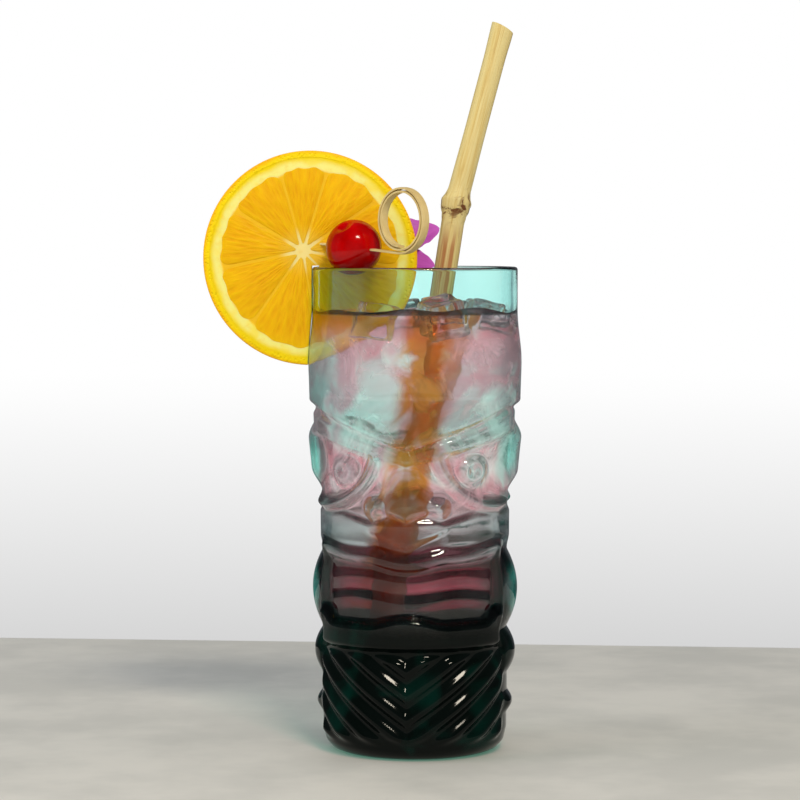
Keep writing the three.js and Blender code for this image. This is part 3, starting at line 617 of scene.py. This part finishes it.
def makeStraw():
    foot, knee, tip = (np.array(straw[name]) for name in ("foot", "knee", "tip"))
    outer = np.concatenate([np.linspace(foot[2], 170, 40), np.arange(171, 201, 0.75),
                            np.linspace(202, tip[2], 30)])
    inner = np.linspace(tip[2], foot[2], 16)
    levels = np.concatenate([outer, inner, outer[:1]])
    within = np.arange(len(levels)) >= len(outer)
    within[-1] = False
    lower = (knee - foot) / np.linalg.norm(knee - foot)
    upper = (tip - knee) / np.linalg.norm(tip - knee)

    def place(u, v):
        row = np.rint(v * (len(levels) - 1)).astype(int)
        z = levels[row]
        share = ease(z, knee[2] - 8, knee[2] + 8)[:, None]
        axis = lower * (1 - share) + upper * share
        axis /= np.linalg.norm(axis, axis=1)[:, None]
        side = np.cross(axis, [0.0, 1.0, 0.0])
        side /= np.linalg.norm(side, axis=1)[:, None]
        ahead = np.cross(axis, side)
        below = (z <= knee[2])[:, None]
        centre = np.where(below, foot + (knee - foot) * ((z - foot[2]) / (knee[2] - foot[2]))[:, None],
                          knee + (tip - knee) * ((z - knee[2]) / (tip[2] - knee[2]))[:, None])
        radius = np.where(within[row], straw["bore"], strawRadiusAt(z))
        angle = u * 2 * np.pi
        flat = radius * (1 + 0.025 * np.cos(2 * angle + z * 0.02))
        rise = ease(z, tip[2] - 12, tip[2]) * -straw["slant"]
        spot = centre + side * (flat * np.cos(angle))[:, None] + ahead * (flat * np.sin(angle))[:, None]
        spot[:, 2] += rise * (spot[:, 0] - centre[:, 0])
        return spot * mm

    return rolledGrid(straw["around"], len(levels) - 1, place)


def bambooMaterial():
    material, start = newMaterial("bambooCane")
    place = objectPlace(start)
    grain = start.node("UVMap", {}, {})
    fibre = noise(start, start.node("Mapping", {}, {"Vector": grain, "Scale": (70, 9, 1)}), 1, 4, 0.6, 0.2)
    broad = noise(start, start.node("Mapping", {}, {"Vector": grain, "Scale": (11, 4, 1)}), 1, 2)
    tone = broad.node("ValToRGB", {"stops": straw["dry"]}, {0: broad * 0.45 + fibre * 0.55})
    height = start.node("SeparateXYZ", {}, {0: place}, 2)
    blotch = noise(start, place, 190, 4, 0.65, 0.7)
    knee = straw["knee"][2] * mm
    nearNode = 1 - (height - knee).taken("ABSOLUTE").band(0.001, 0.0085)
    scar = (blotch.band(0.5, 0.6) * nearNode).mixed(tone, paint(106, 60, 26))
    under = (1 - height.band(knee - 0.016, knee - 0.004)) * height.band(knee - 0.05, knee - 0.03)
    browned = (under * broad.band(0.42, 0.56) * 0.85).mixed(scar, paint(166, 100, 48))
    wet = 1 - height.band(0.146, 0.153)
    soaked = start.node("ValToRGB", {"stops": straw["soaked"]}, {0: height / (drink["level"] * mm)})
    colour = wet.mixed(browned, soaked)
    body = start.node("BsdfPrincipled", {}, {
        "Base Color": colour, "Roughness": fibre * 0.25 + 0.35, "Specular IOR Level": 0.3,
        "Normal": bumped(start, fibre + blotch * 0.4, 0.25, 0.0006)})
    addOutput(start, body)
    return material


settle(makeStraw(), "bambooStraw", bambooMaterial(), "straw", ["bamboo_straw"], 45)
print("straw made")

# orange wheel: peel, pith and nine plump segments, slit from below to hang on the glass
wheel = {
    "centre": (-35.465, -3.103, 168),  # mm
    "turn": 5,
    "radius": 36.4,
    "thickness": 7,
    "rind": 2.2,
    "flesh": 30.6,
    "core": (-2.4, 2.4),
    "coreRadius": 2.2,
    "membrane": 0.3,
    "bevel": 0.5,
    "angles": [34, 73, 106, 149, 192, 235, 279, 315, 350],
}


def standWheel(piece):  # from flat at the origin to upright at its place on the rim
    piece.rotation_euler = (math.radians(90), 0, math.radians(wheel["turn"]))
    piece.location = Vector(wheel["centre"]) * mm
    startPiece()
    piece.select_set(True)
    bpy.context.view_layer.objects.active = piece
    bpy.ops.object.transform_apply(location=True, rotation=True, scale=True)


def makeSlitCutter():  # the glass's wall with room around it
    levels = np.array([120, 133, 140, 150, 158, 165.4])

    def place(u, v):
        row = np.rint(v * (2 * len(levels))).astype(int) % (2 * len(levels))
        inside = row >= len(levels)
        z = levels[np.where(inside, 2 * len(levels) - 1 - row, row)]
        outside = alongProfile(glass["body"], np.minimum(z, 165), 8) + 0.3
        radius = np.where(inside, boreAt(np.minimum(z, 165)) - 0.3, outside)
        angle = u * 2 * np.pi
        return np.stack([radius * np.cos(angle), radius * np.sin(angle), z], 1) * mm

    return rolledGrid(96, 2 * len(levels), place)


def cutSlit(piece, cutter):
    applied(piece, "BOOLEAN", object=cutter, operation="DIFFERENCE", solver="EXACT")


def bevelCaps(piece, half, width, segments):  # rounds the edges of both flat faces
    startPiece()
    bpy.context.view_layer.objects.active = piece
    piece.select_set(True)
    bpy.ops.object.mode_set(mode="EDIT")
    bpy.ops.mesh.select_all(action="DESELECT")
    bpy.ops.object.mode_set(mode="OBJECT")
    at = points(piece)
    for edge in piece.data.edges:
        a, b = (at[k][2] for k in edge.vertices)
        edge.select = abs(abs(a) - half) < 1e-6 and abs(abs(b) - half) < 1e-6
    bpy.ops.object.mode_set(mode="EDIT")
    bpy.ops.mesh.bevel(offset=width, segments=segments, affect="EDGES")
    bpy.ops.object.mode_set(mode="OBJECT")


def makeRind():
    startPiece()
    half = wheel["thickness"] / 2 * mm
    bpy.ops.mesh.primitive_cylinder_add(vertices=180, radius=wheel["radius"] * mm, depth=2 * half)
    piece = bpy.context.active_object
    bevelCaps(piece, half, 0.5 * mm, 3)
    innerRadius = (wheel["radius"] - wheel["rind"]) * mm
    bpy.ops.mesh.primitive_cylinder_add(vertices=180, radius=innerRadius, depth=6 * half)
    hole = bpy.context.active_object
    applied(piece, "BOOLEAN", object=hole, operation="DIFFERENCE", solver="EXACT")
    bpy.data.objects.remove(hole)
    return piece


def makePith():
    startPiece()
    half = (wheel["thickness"] / 2 - 0.12) * mm
    bpy.ops.mesh.primitive_cylinder_add(vertices=180, radius=(wheel["radius"] - wheel["rind"] + 0.05) * mm,
                                        depth=2 * half)
    return bpy.context.active_object


def segmentOutline(index, count):  # a soft wedge, its points evenly spaced
    angles = wheel["angles"]
    first = angles[index]
    last = angles[(index + 1) % len(angles)]
    last += 360 if last < first else 0
    half = math.radians(last - first) / 2
    middle = math.radians(first + last) / 2
    inset = wheel["membrane"] / math.sin(half)
    apex = np.array(wheel["core"]) + np.array([math.cos(middle), math.sin(middle)]) * inset
    low = max(wheel["coreRadius"] - inset, 0.8)
    t = np.linspace(0, 2 * np.pi, 721)
    swing = np.sign(np.sin(t)) * np.abs(np.sin(t)) ** 0.3
    share = 0.5 + 0.5 * np.sign(np.cos(t)) * np.abs(np.cos(t)) ** 0.22
    ray = np.stack([np.cos(middle + half * swing), np.sin(middle + half * swing)], 1)
    b = ray @ apex
    full = -b + np.sqrt(b * b - apex @ apex + wheel["flesh"] ** 2)
    full *= 1 - 0.012 * np.cos(swing * 9 + index)
    dense = apex + ray * (low + (full - low) * share)[:, None]
    run = np.concatenate([[0], np.cumsum(np.hypot(*np.diff(dense, axis=0).T))])
    even = np.linspace(0, run[-1], count + 1)[:-1]
    return np.stack([np.interp(even, run, dense[:, 0]), np.interp(even, run, dense[:, 1])], 1)


def makeSegment(index):
    count = 72
    startPiece()
    bpy.ops.mesh.primitive_cylinder_add(vertices=count, radius=1, depth=wheel["thickness"] * mm)
    piece = bpy.context.active_object
    outline = segmentOutline(index, count)
    shape = points(piece)
    turn = np.rint(np.degrees(np.arctan2(shape[:, 0], shape[:, 1])) % 360 / 360 * count).astype(int)
    shape[:, :2] = outline[-turn % count] * mm
    movePoints(piece, shape)
    return piece


def wheelPlace(start):  # x and z across the wheel's face, from its core
    turn = math.radians(wheel["turn"])
    core = Matrix.Rotation(turn, 3, "Z") @ Vector((wheel["core"][0], 0, wheel["core"][1])) * mm
    centre = Vector(wheel["centre"]) * mm + core
    back = Matrix.Rotation(-turn, 3, "Z") @ centre
    return objectPlace(start, (-back.x, -back.y, -back.z), (0, 0, -turn))


def polar(start, place):
    x, depth, z = parts(start, place)
    return (x * x + z * z).taken("SQRT"), z.math("ARCTAN2", z, x), depth


def rimDistance(start):  # from the wheel's middle, with a wavering edge
    turn = math.radians(wheel["turn"])
    back = Matrix.Rotation(-turn, 3, "Z") @ (Vector(wheel["centre"]) * mm)
    place = objectPlace(start, (-back.x, -back.y, -back.z), (0, 0, -turn))
    return polar(start, place)[0] + (noise(start, objectPlace(start), 110, 2) - 0.5) * 0.0025


def fleshMaterial():
    material, start = newMaterial("orangePulp")
    distance, angle, depth = polar(start, wheelPlace(start))
    cells = start.node("CombineXYZ", {}, {0: distance * 230, 1: angle * 15, 2: depth * 260})
    pulp = start.node("TexVoronoi", {"feature": "F1"}, {"Vector": cells, "Scale": 1.0})
    grain = start.node("CombineXYZ", {}, {0: distance * 90, 1: angle * 26, 2: depth * 90})
    streak = noise(start, grain, 1, 3, 0.6)
    tone = streak.node("ValToRGB", {"stops": [
        (0.2, paint(222, 148, 0)), (0.45, paint(231, 170, 0)), (0.65, paint(236, 184, 0)),
        (0.9, paint(242, 202, 0))]}, {0: streak * 0.6 + pulp * 0.25 + 0.08})
    rimLight = distance.band(0.026, 0.036).mixed(tone, paint(240, 188, 4))
    heart = (1 - distance.band(0.003, 0.01)).mixed(rimLight, paint(240, 190, 50))
    body = start.node("BsdfPrincipled", {"subsurface_method": "RANDOM_WALK"}, {
        "Base Color": heart, "Roughness": 0.3 + streak * 0.25, "Specular IOR Level": 0.12,
        "Subsurface Weight": 0.15, "Subsurface Radius": (0.004, 0.002, 0.0006), "Subsurface Scale": 1.0,
        "Normal": bumped(start, pulp * 0.7 + streak * 0.6, 0.5, 0.0007)})
    addOutput(start, body)
    return material


def pithMaterial():
    material, start = newMaterial("orangePith")
    distance = polar(start, wheelPlace(start))[0]
    soft = noise(start, objectPlace(start), 420, 3)
    heart = distance.band(0.004, 0.009).mixed(paint(240, 220, 140), paint(240, 186, 30))
    rim = rimDistance(start)
    ring = rim.band(0.0295, 0.0305).mixed(heart, paint(241, 231, 132))
    patches = noise(start, objectPlace(start), 160, 2).band(0.45, 0.65) * 0.6
    patchy = patches.mixed(ring, paint(246, 216, 40))
    blend = rim.band(0.0318, 0.0342).mixed((rim.band(0.0292, 0.0302)).mixed(ring, patchy), paint(240, 208, 0))
    edge = (soft.band(0.5, 0.75) * 0.25).mixed(blend, paint(236, 190, 40))
    body = start.node("BsdfPrincipled", {}, {
        "Base Color": edge, "Roughness": 0.45 + soft * 0.2, "Specular IOR Level": 0.12,
        "Subsurface Weight": 0.2, "Subsurface Radius": (0.003, 0.002, 0.001), "Subsurface Scale": 1.0,
        "Normal": bumped(start, soft, 0.3, 0.0004)})
    addOutput(start, body)
    return material


def rindMaterial():
    material, start = newMaterial("orangePeel")
    place = objectPlace(start)
    pores = start.node("TexVoronoi", {}, {"Vector": place, "Scale": 900})
    broad = noise(start, place, 130, 3)
    rim = rimDistance(start)
    tone = rim.band(0.0348, 0.0366).mixed(paint(240, 208, 0), paint(240, 172, 2))
    body = start.node("BsdfPrincipled", {}, {
        "Base Color": tone, "Roughness": 0.3 + broad * 0.2, "Specular IOR Level": 0.15,
        "Normal": bumped(start, pores.band(0.0, 0.5) + broad * 0.3, 0.5, 0.0005)})
    addOutput(start, body)
    return material


slitCutter = makeSlitCutter()
orangePulp = fleshMaterial()
for index in range(len(wheel["angles"])):
    piece = makeSegment(index)
    standWheel(piece)
    cutSlit(piece, slitCutter)
    applied(piece, "BEVEL", width=wheel["bevel"] * mm, segments=3, limit_method="ANGLE", angle_limit=1.0)
    name, node = f"orangeSegment{index + 1}", f"orange_segment_{index + 1}"
    settle(piece, name, orangePulp, "wheel", [node], 40)
for name, maker, material, slot, node in (("orangeRind", makeRind, rindMaterial(), "rind", "orange_rind"),
                                          ("orangePith", makePith, pithMaterial(), "pith", "orange_pith")):
    piece = maker()
    standWheel(piece)
    cutSlit(piece, slitCutter)
    settle(piece, name, material, "wheel", [node], 40)
bpy.data.objects.remove(slitCutter)
print("orange wheel made")

# cherry on its loop pick
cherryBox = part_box("cherry")
pickJoint = next(joint for joint in frame["joints"] if joint["name"] == "pick_twist")
pick = {
    "tail": 40,  # mm
    "reach": 23,  # from the cherry's centre to the coil's foot
    "width": 3,
    "thickness": 0.8,
    "coil": 11,
    "turns": 2,
    "gap": 0.3,
    "steps": 320,
    "dimple": 0.2,  # share of the cherry's radius
    "stemEnd": (28, -24, 0),  # degrees
}


def makeCherry():  # a round fruit drawn in at its stem end
    startPiece()
    low, high = cherryBox
    bpy.ops.mesh.primitive_uv_sphere_add(segments=64, ring_count=40, radius=1)
    piece = bpy.context.active_object
    shape = points(piece)
    dent = pick["dimple"] * np.exp(-(shape[:, 0] ** 2 + shape[:, 1] ** 2) / 0.05) * (shape[:, 2] > 0)
    shape[:, 2] = shape[:, 2] * 0.97 - dent
    shape *= 1 + 0.012 * np.sin(shape[:, 0] * 4 + 1)[:, None] * np.cos(shape[:, 1] * 3)[:, None]
    movePoints(piece, shape)
    piece.rotation_euler = [math.radians(angle) for angle in pick["stemEnd"]]
    piece.scale = [(high[0] - low[0]) / 2] * 3
    piece.location = Vector(pickJoint["pos_m"])
    return piece


def cherryMaterial():
    material, start = newMaterial("cocktailCherry")
    place = objectPlace(start)
    mottle = noise(start, place, 90, 3, 0.55)
    tone = mottle.node("ValToRGB", {"stops": [
        (0.3, paint(120, 0, 0)), (0.5, paint(160, 0, 0)), (0.75, paint(190, 0, 2))]}, {0: mottle})
    body = start.node("BsdfPrincipled", {}, {
        "Base Color": tone, "Roughness": 0.08 + mottle.band(0.5, 0.8) * 0.08, "Specular IOR Level": 0.25,
        "Subsurface Weight": 0.05, "Subsurface Radius": (0.003, 0.0004, 0.0003), "Subsurface Scale": 1.0,
        "Normal": bumped(start, mottle, 0.25, 0.0008)})
    addOutput(start, body)
    return material


def makePick():
    away = np.array(pickJoint["axis"])
    side = np.cross([0.0, 0.0, 1.0], away)
    side /= np.linalg.norm(side)
    up = np.cross(away, side)
    origin = np.array(pickJoint["pos_m"]) / mm
    straight = pick["tail"] + pick["reach"]
    total = straight + pick["turns"] * 2 * np.pi * pick["coil"]
    steps = [-1, -0.5, 0, 0.5, 1]
    corners = np.array([(k, -1) for k in steps] + [(-k, 1) for k in steps], float)

    def middle(run):
        turn = np.maximum(run - straight, 0) / pick["coil"]
        radius = pick["coil"] - (pick["thickness"] + pick["gap"]) * turn / (2 * np.pi)
        along = np.where(run <= straight, run - pick["tail"], pick["reach"] + radius * np.sin(turn))
        rise = np.where(run <= straight, 0, pick["coil"] - radius * np.cos(turn))
        return origin + away * along[:, None] + up * rise[:, None]

    def place(u, v):
        row = np.rint(v * pick["steps"])
        run = np.clip((row - 1) / (pick["steps"] - 2), 0, 1) * total
        ahead = middle(np.minimum(run + 0.05, total)) - middle(np.maximum(run - 0.05, 0))
        ahead /= np.linalg.norm(ahead, axis=1)[:, None]
        normal = np.cross(side, ahead)
        corner = corners[np.rint(u * len(corners)).astype(int) % len(corners)]
        between = ((row > 0) & (row < pick["steps"])).astype(float)
        size = between * (0.3 + 0.7 * ease(run, 0, 9))
        rounded = 1 - 0.3 * (np.abs(corner[:, 0]) > 0.9)
        spot = middle(run) + side * (corner[:, 0] * pick["width"] / 2 * size)[:, None]
        return (spot - normal * (corner[:, 1] * pick["thickness"] / 2 * size * rounded)[:, None]) * mm

    return rolledGrid(len(corners), pick["steps"], place)


def pickMaterial():
    material, start = newMaterial("bambooStrip")
    place = start.node("UVMap", {}, {})
    fibre = noise(start, start.node("Mapping", {}, {"Vector": place, "Scale": (40, 60, 1)}), 1, 4, 0.6)
    broad = noise(start, objectPlace(start), 160, 2)
    tone = broad.node("ValToRGB", {"stops": [
        (0.2, paint(172, 140, 84)), (0.5, paint(208, 182, 120)), (0.8, paint(228, 210, 156))]},
        {0: broad * 0.5 + fibre * 0.5})
    body = start.node("BsdfPrincipled", {}, {
        "Base Color": tone, "Roughness": 0.35 + fibre * 0.2, "Normal": bumped(start, fibre, 0.25, 0.0003)})
    addOutput(start, body)
    return material


settle(makeCherry(), "cherryFruit", cherryMaterial(), "cherry", ["cherry"], 60)
settle(makePick(), "loopPick", pickMaterial(), "pick", ["loop_pick"], 35)
print("cherry and pick made")

# orchid behind the wheel: cupped, veined petals with a frilled edge
orchid = {
    "centre": (-13.226, 14.402, 171),  # mm
    "turn": 5,
    "tilt": 50,
    "around": 28,
    "along": 36,
    "leaf": 0.45,  # half a petal's thickness
}
sepalShape = {
    "length": 21, "width": 9, "layer": 0, "start": 2.8, "cup": 0.5, "curl": 0.1, "roundness": 0.8,
}
petalShape = {
    "length": 21.5, "width": 14, "layer": 1.6, "start": 2.6, "cup": 0.6, "curl": 0.08, "roundness": 0.7,
}
lipShape = {
    "length": 11, "width": 9, "layer": 1.7, "start": 2.6, "cup": 1.5, "curl": 0.28, "roundness": 0.7,
}


def flowerPlace(spots):
    turn = Matrix.Rotation(math.radians(orchid["turn"]), 3, "Z")
    tilt = Matrix.Rotation(math.radians(orchid["tilt"]), 3, "X")
    return (spots @ np.array(turn @ tilt).T + np.array(orchid["centre"])) * mm


def makePetal(shape, bearing, frill):
    def place(u, t):
        x = shape["start"] + (shape["length"] - shape["start"]) * t
        widest = np.sin(np.pi * np.clip(t, 0, 1) ** shape["roundness"])
        w = shape["width"] / 2 * np.clip(widest, 0, 1) ** 0.62
        angle = u * 2 * np.pi
        y = w * np.cos(angle)
        edge = np.abs(np.cos(angle)) ** 3
        wave = frill * edge * np.sin(x * 1.5 + np.sign(y)) * np.sin(np.pi * t)
        curl, cup = shape["curl"] / shape["length"], shape["cup"] / shape["width"]
        lift = shape["layer"] + curl * x * x + cup * y * y
        thick = orchid["leaf"] * np.sin(angle) * np.sin(np.pi * np.clip(t, 0.0, 1.0)) ** 0.5
        turn = math.radians(bearing)
        spots = np.stack([x * math.cos(turn) - y * math.sin(turn), x * math.sin(turn) + y * math.cos(turn),
                          lift + wave + thick], 1)
        return flowerPlace(spots)

    return rolledGrid(orchid["around"], orchid["along"], place)


def petalMaterial(name, pale, deep, dark):
    material, start = newMaterial(name)
    place = start.node("UVMap", {}, {})
    along = start.node("SeparateXYZ", {}, {0: place}, 1)
    veins = noise(start, start.node("Mapping", {}, {"Vector": place, "Scale": (26, 2, 1)}), 1, 3, 0.55)
    soft = noise(start, objectPlace(start), 150, 2)
    tone = (soft * 0.5 + along * 0.5).mixed(deep, pale)
    veined = (veins.band(0.48, 0.66) * 0.55).mixed(tone, deep)
    throat = (1 - along.band(0.02, 0.3)).mixed(veined, dark)
    body = start.node("BsdfPrincipled", {}, {
        "Base Color": throat, "Roughness": 0.5 + soft * 0.1, "Sheen Weight": 0.25,
        "Subsurface Weight": 0.2, "Subsurface Radius": (0.002, 0.0006, 0.002), "Subsurface Scale": 1.0,
        "Normal": bumped(start, veins, 0.25, 0.0004)})
    addOutput(start, body)
    return material


orchidPetal = petalMaterial("orchidPetal", paint(192, 84, 190), paint(160, 40, 158), paint(116, 12, 110))
orchidLip = petalMaterial("orchidLip", paint(176, 62, 160), paint(140, 24, 128), paint(96, 10, 84))
for name, shape, bearing, frill, material, slot, node in (
        ("orchidSepalTop", sepalShape, 92, 0.25, orchidPetal, "petal", "orchid_sepal_top"),
        ("orchidSepalLeft", sepalShape, 207, 0.2, orchidPetal, "petal", "orchid_sepal_left"),
        ("orchidSepalRight", sepalShape, -27, 0.2, orchidPetal, "petal", "orchid_sepal_right"),
        ("orchidPetalLeft", petalShape, 160, 0.35, orchidPetal, "petal", "orchid_petal_left"),
        ("orchidPetalRight", petalShape, 18, 0.35, orchidPetal, "petal", "orchid_petal_right"),
        ("orchidLip", lipShape, 270, 0.3, orchidLip, "lip", "orchid_lip")):
    settle(makePetal(shape, bearing, frill), name, material, "orchid", [node], 50)


def stemMaterial():
    material, start = newMaterial("orchidGreen")
    fibre = noise(start, objectPlace(start, (0, 0, 0), (0, 0, 0), (900, 900, 90)), 1, 3)
    tone = fibre.band(0.3, 0.7).mixed(paint(96, 134, 60), paint(146, 176, 96))
    body = start.node("BsdfPrincipled", {}, {
        "Base Color": tone, "Roughness": 0.4 + fibre * 0.15, "Normal": bumped(start, fibre, 0.2, 0.0003)})
    addOutput(start, body)
    return material


orchidGreen = stemMaterial()
for node, name in (("orchid_column", "orchidColumn"), ("orchid_stem", "orchidStem")):
    piece = copyOfNode(node)
    applied(piece, "BEVEL", width=0.2 * mm, segments=2, limit_method="ANGLE")
    applied(piece, "SUBSURF", levels=2, render_levels=2)
    settle(piece, name, orchidGreen, "orchid", [node], 50)
print("orchid made")

# floor, light and camera
studio = {
    "floorBack": 0.257,  # metres behind the glass
    "floorReach": 1.2,
    "keyPlace": (0.28, -0.75, 0.95),
    "keyPower": 7.5,
    "keyColour": (1.0, 0.9, 0.74),
    "fillPlace": (-0.8, -0.35, 0.5),
    "fillPower": 2.5,
    "fillColour": (0.95, 0.98, 1.0),
    "distance": 1.0,
    "bearing": 5,
    "eyeHeight": 0.176,
    "aim": (-0.0051, 0.0, 0.1195),
    "lens": 131.9,
    "panel": (1.25, 1.25, 1.25, 1),
    "gap": (0.25, 0.28, 0.3, 1),
    "room": (0.1, 0.11, 0.12, 1),
}


def makeFloor():
    startPiece()
    reach, back = studio["floorReach"], studio["floorBack"]
    bpy.ops.mesh.primitive_plane_add(size=1, location=(0, (back - reach) / 2, -0.0002))
    floor = bpy.context.active_object
    floor.scale = (2 * reach, back + reach, 1)
    bpy.ops.object.transform_apply(location=True, rotation=True, scale=True)
    floor.name = "paleFloor"
    material, start = newMaterial("palePlaster")
    cloud = noise(start, objectPlace(start), 14, 4, 0.6)
    tone = cloud.band(0.35, 0.65).mixed(paint(212, 210, 204), paint(196, 195, 190))
    addOutput(start, start.node("BsdfPrincipled", {}, {"Base Color": tone, "Roughness": 0.5 + cloud * 0.2}))
    floor.data.materials.append(material)


def makeWorld():  # a white horizon; the glass bends and mirrors four bright panels with darker gaps
    world = bpy.data.worlds.new("studioSky")
    world.use_nodes = True
    world.node_tree.nodes.clear()
    start = Wire(world.node_tree)
    way = start.node("TexCoord", {}, {}, 0)
    x, y, up = parts(start, way)
    tone = up.node("ValToRGB", {"stops": [
        (0.0, (0.5, 0.5, 0.5, 1)), (0.43, (0.66, 0.66, 0.66, 1)), (0.475, (1, 1, 1, 1)),
        (0.56, (1, 1, 1, 1)), (0.75, (0.6, 0.61, 0.62, 1)), (1.0, (0.4, 0.41, 0.42, 1))]},
        {0: up * 0.5 + 0.5})
    bearing = x.math("ARCTAN2", x, y) + math.radians(studio["bearing"])
    panel = x.math("COSINE", bearing * 4).band(-0.95, 0.1)
    seen, scattered, mirrored = (start.node("LightPath", {}, {}, k) for k in (0, 2, 5))
    lit = (1 - seen).mixed(tone, studio["panel"], "MULTIPLY")
    gap = ((1 - panel) * (1 - seen)).mixed(lit, studio["gap"], "MULTIPLY")
    room = (mirrored * (1 - scattered)).mixed(gap, studio["room"], "MULTIPLY")
    light = start.node("Background", {}, {"Color": room, "Strength": 1.0})
    made = world.node_tree.nodes.new("ShaderNodeOutputWorld")
    world.node_tree.links.new(light.socket, made.inputs["Surface"])
    bpy.context.scene.world = world


def addLamp(name, place, aim, size, power, colour, shines):
    startPiece()
    bpy.ops.object.light_add(type="AREA", location=place)
    lamp = bpy.context.active_object
    lamp.name = name
    lamp.data.shape = "RECTANGLE"
    lamp.data.size, lamp.data.size_y = size
    lamp.data.energy = power
    lamp.data.color = colour
    lamp.visible_glossy = lamp.visible_transmission = shines
    lamp.rotation_euler = (Vector(aim) - Vector(place)).to_track_quat("-Z", "Y").to_euler()


def makeCamera():
    turn = Matrix.Rotation(math.radians(studio["bearing"]), 3, "Z")
    startPiece()
    bpy.ops.object.camera_add(location=turn @ Vector((0, -studio["distance"], studio["eyeHeight"])))
    camera = bpy.context.active_object
    ahead = turn @ Vector(studio["aim"]) - camera.location
    camera.rotation_euler = ahead.to_track_quat("-Z", "Y").to_euler()
    camera.data.lens = studio["lens"]
    camera.data.sensor_width = 36
    camera.data.clip_start = 0.05
    bpy.context.scene.camera = camera


makeFloor()
makeWorld()
addLamp("keyLamp", studio["keyPlace"], (0, 0, 0.05), (0.22, 0.16), studio["keyPower"], studio["keyColour"],
        True)
addLamp("sideLamp", studio["fillPlace"], (0, 0, 0.1), (0.5, 0.6), studio["fillPower"], studio["fillColour"],
        False)
makeCamera()
bpy.context.scene.view_settings.view_transform = "Standard"
print("studio made")
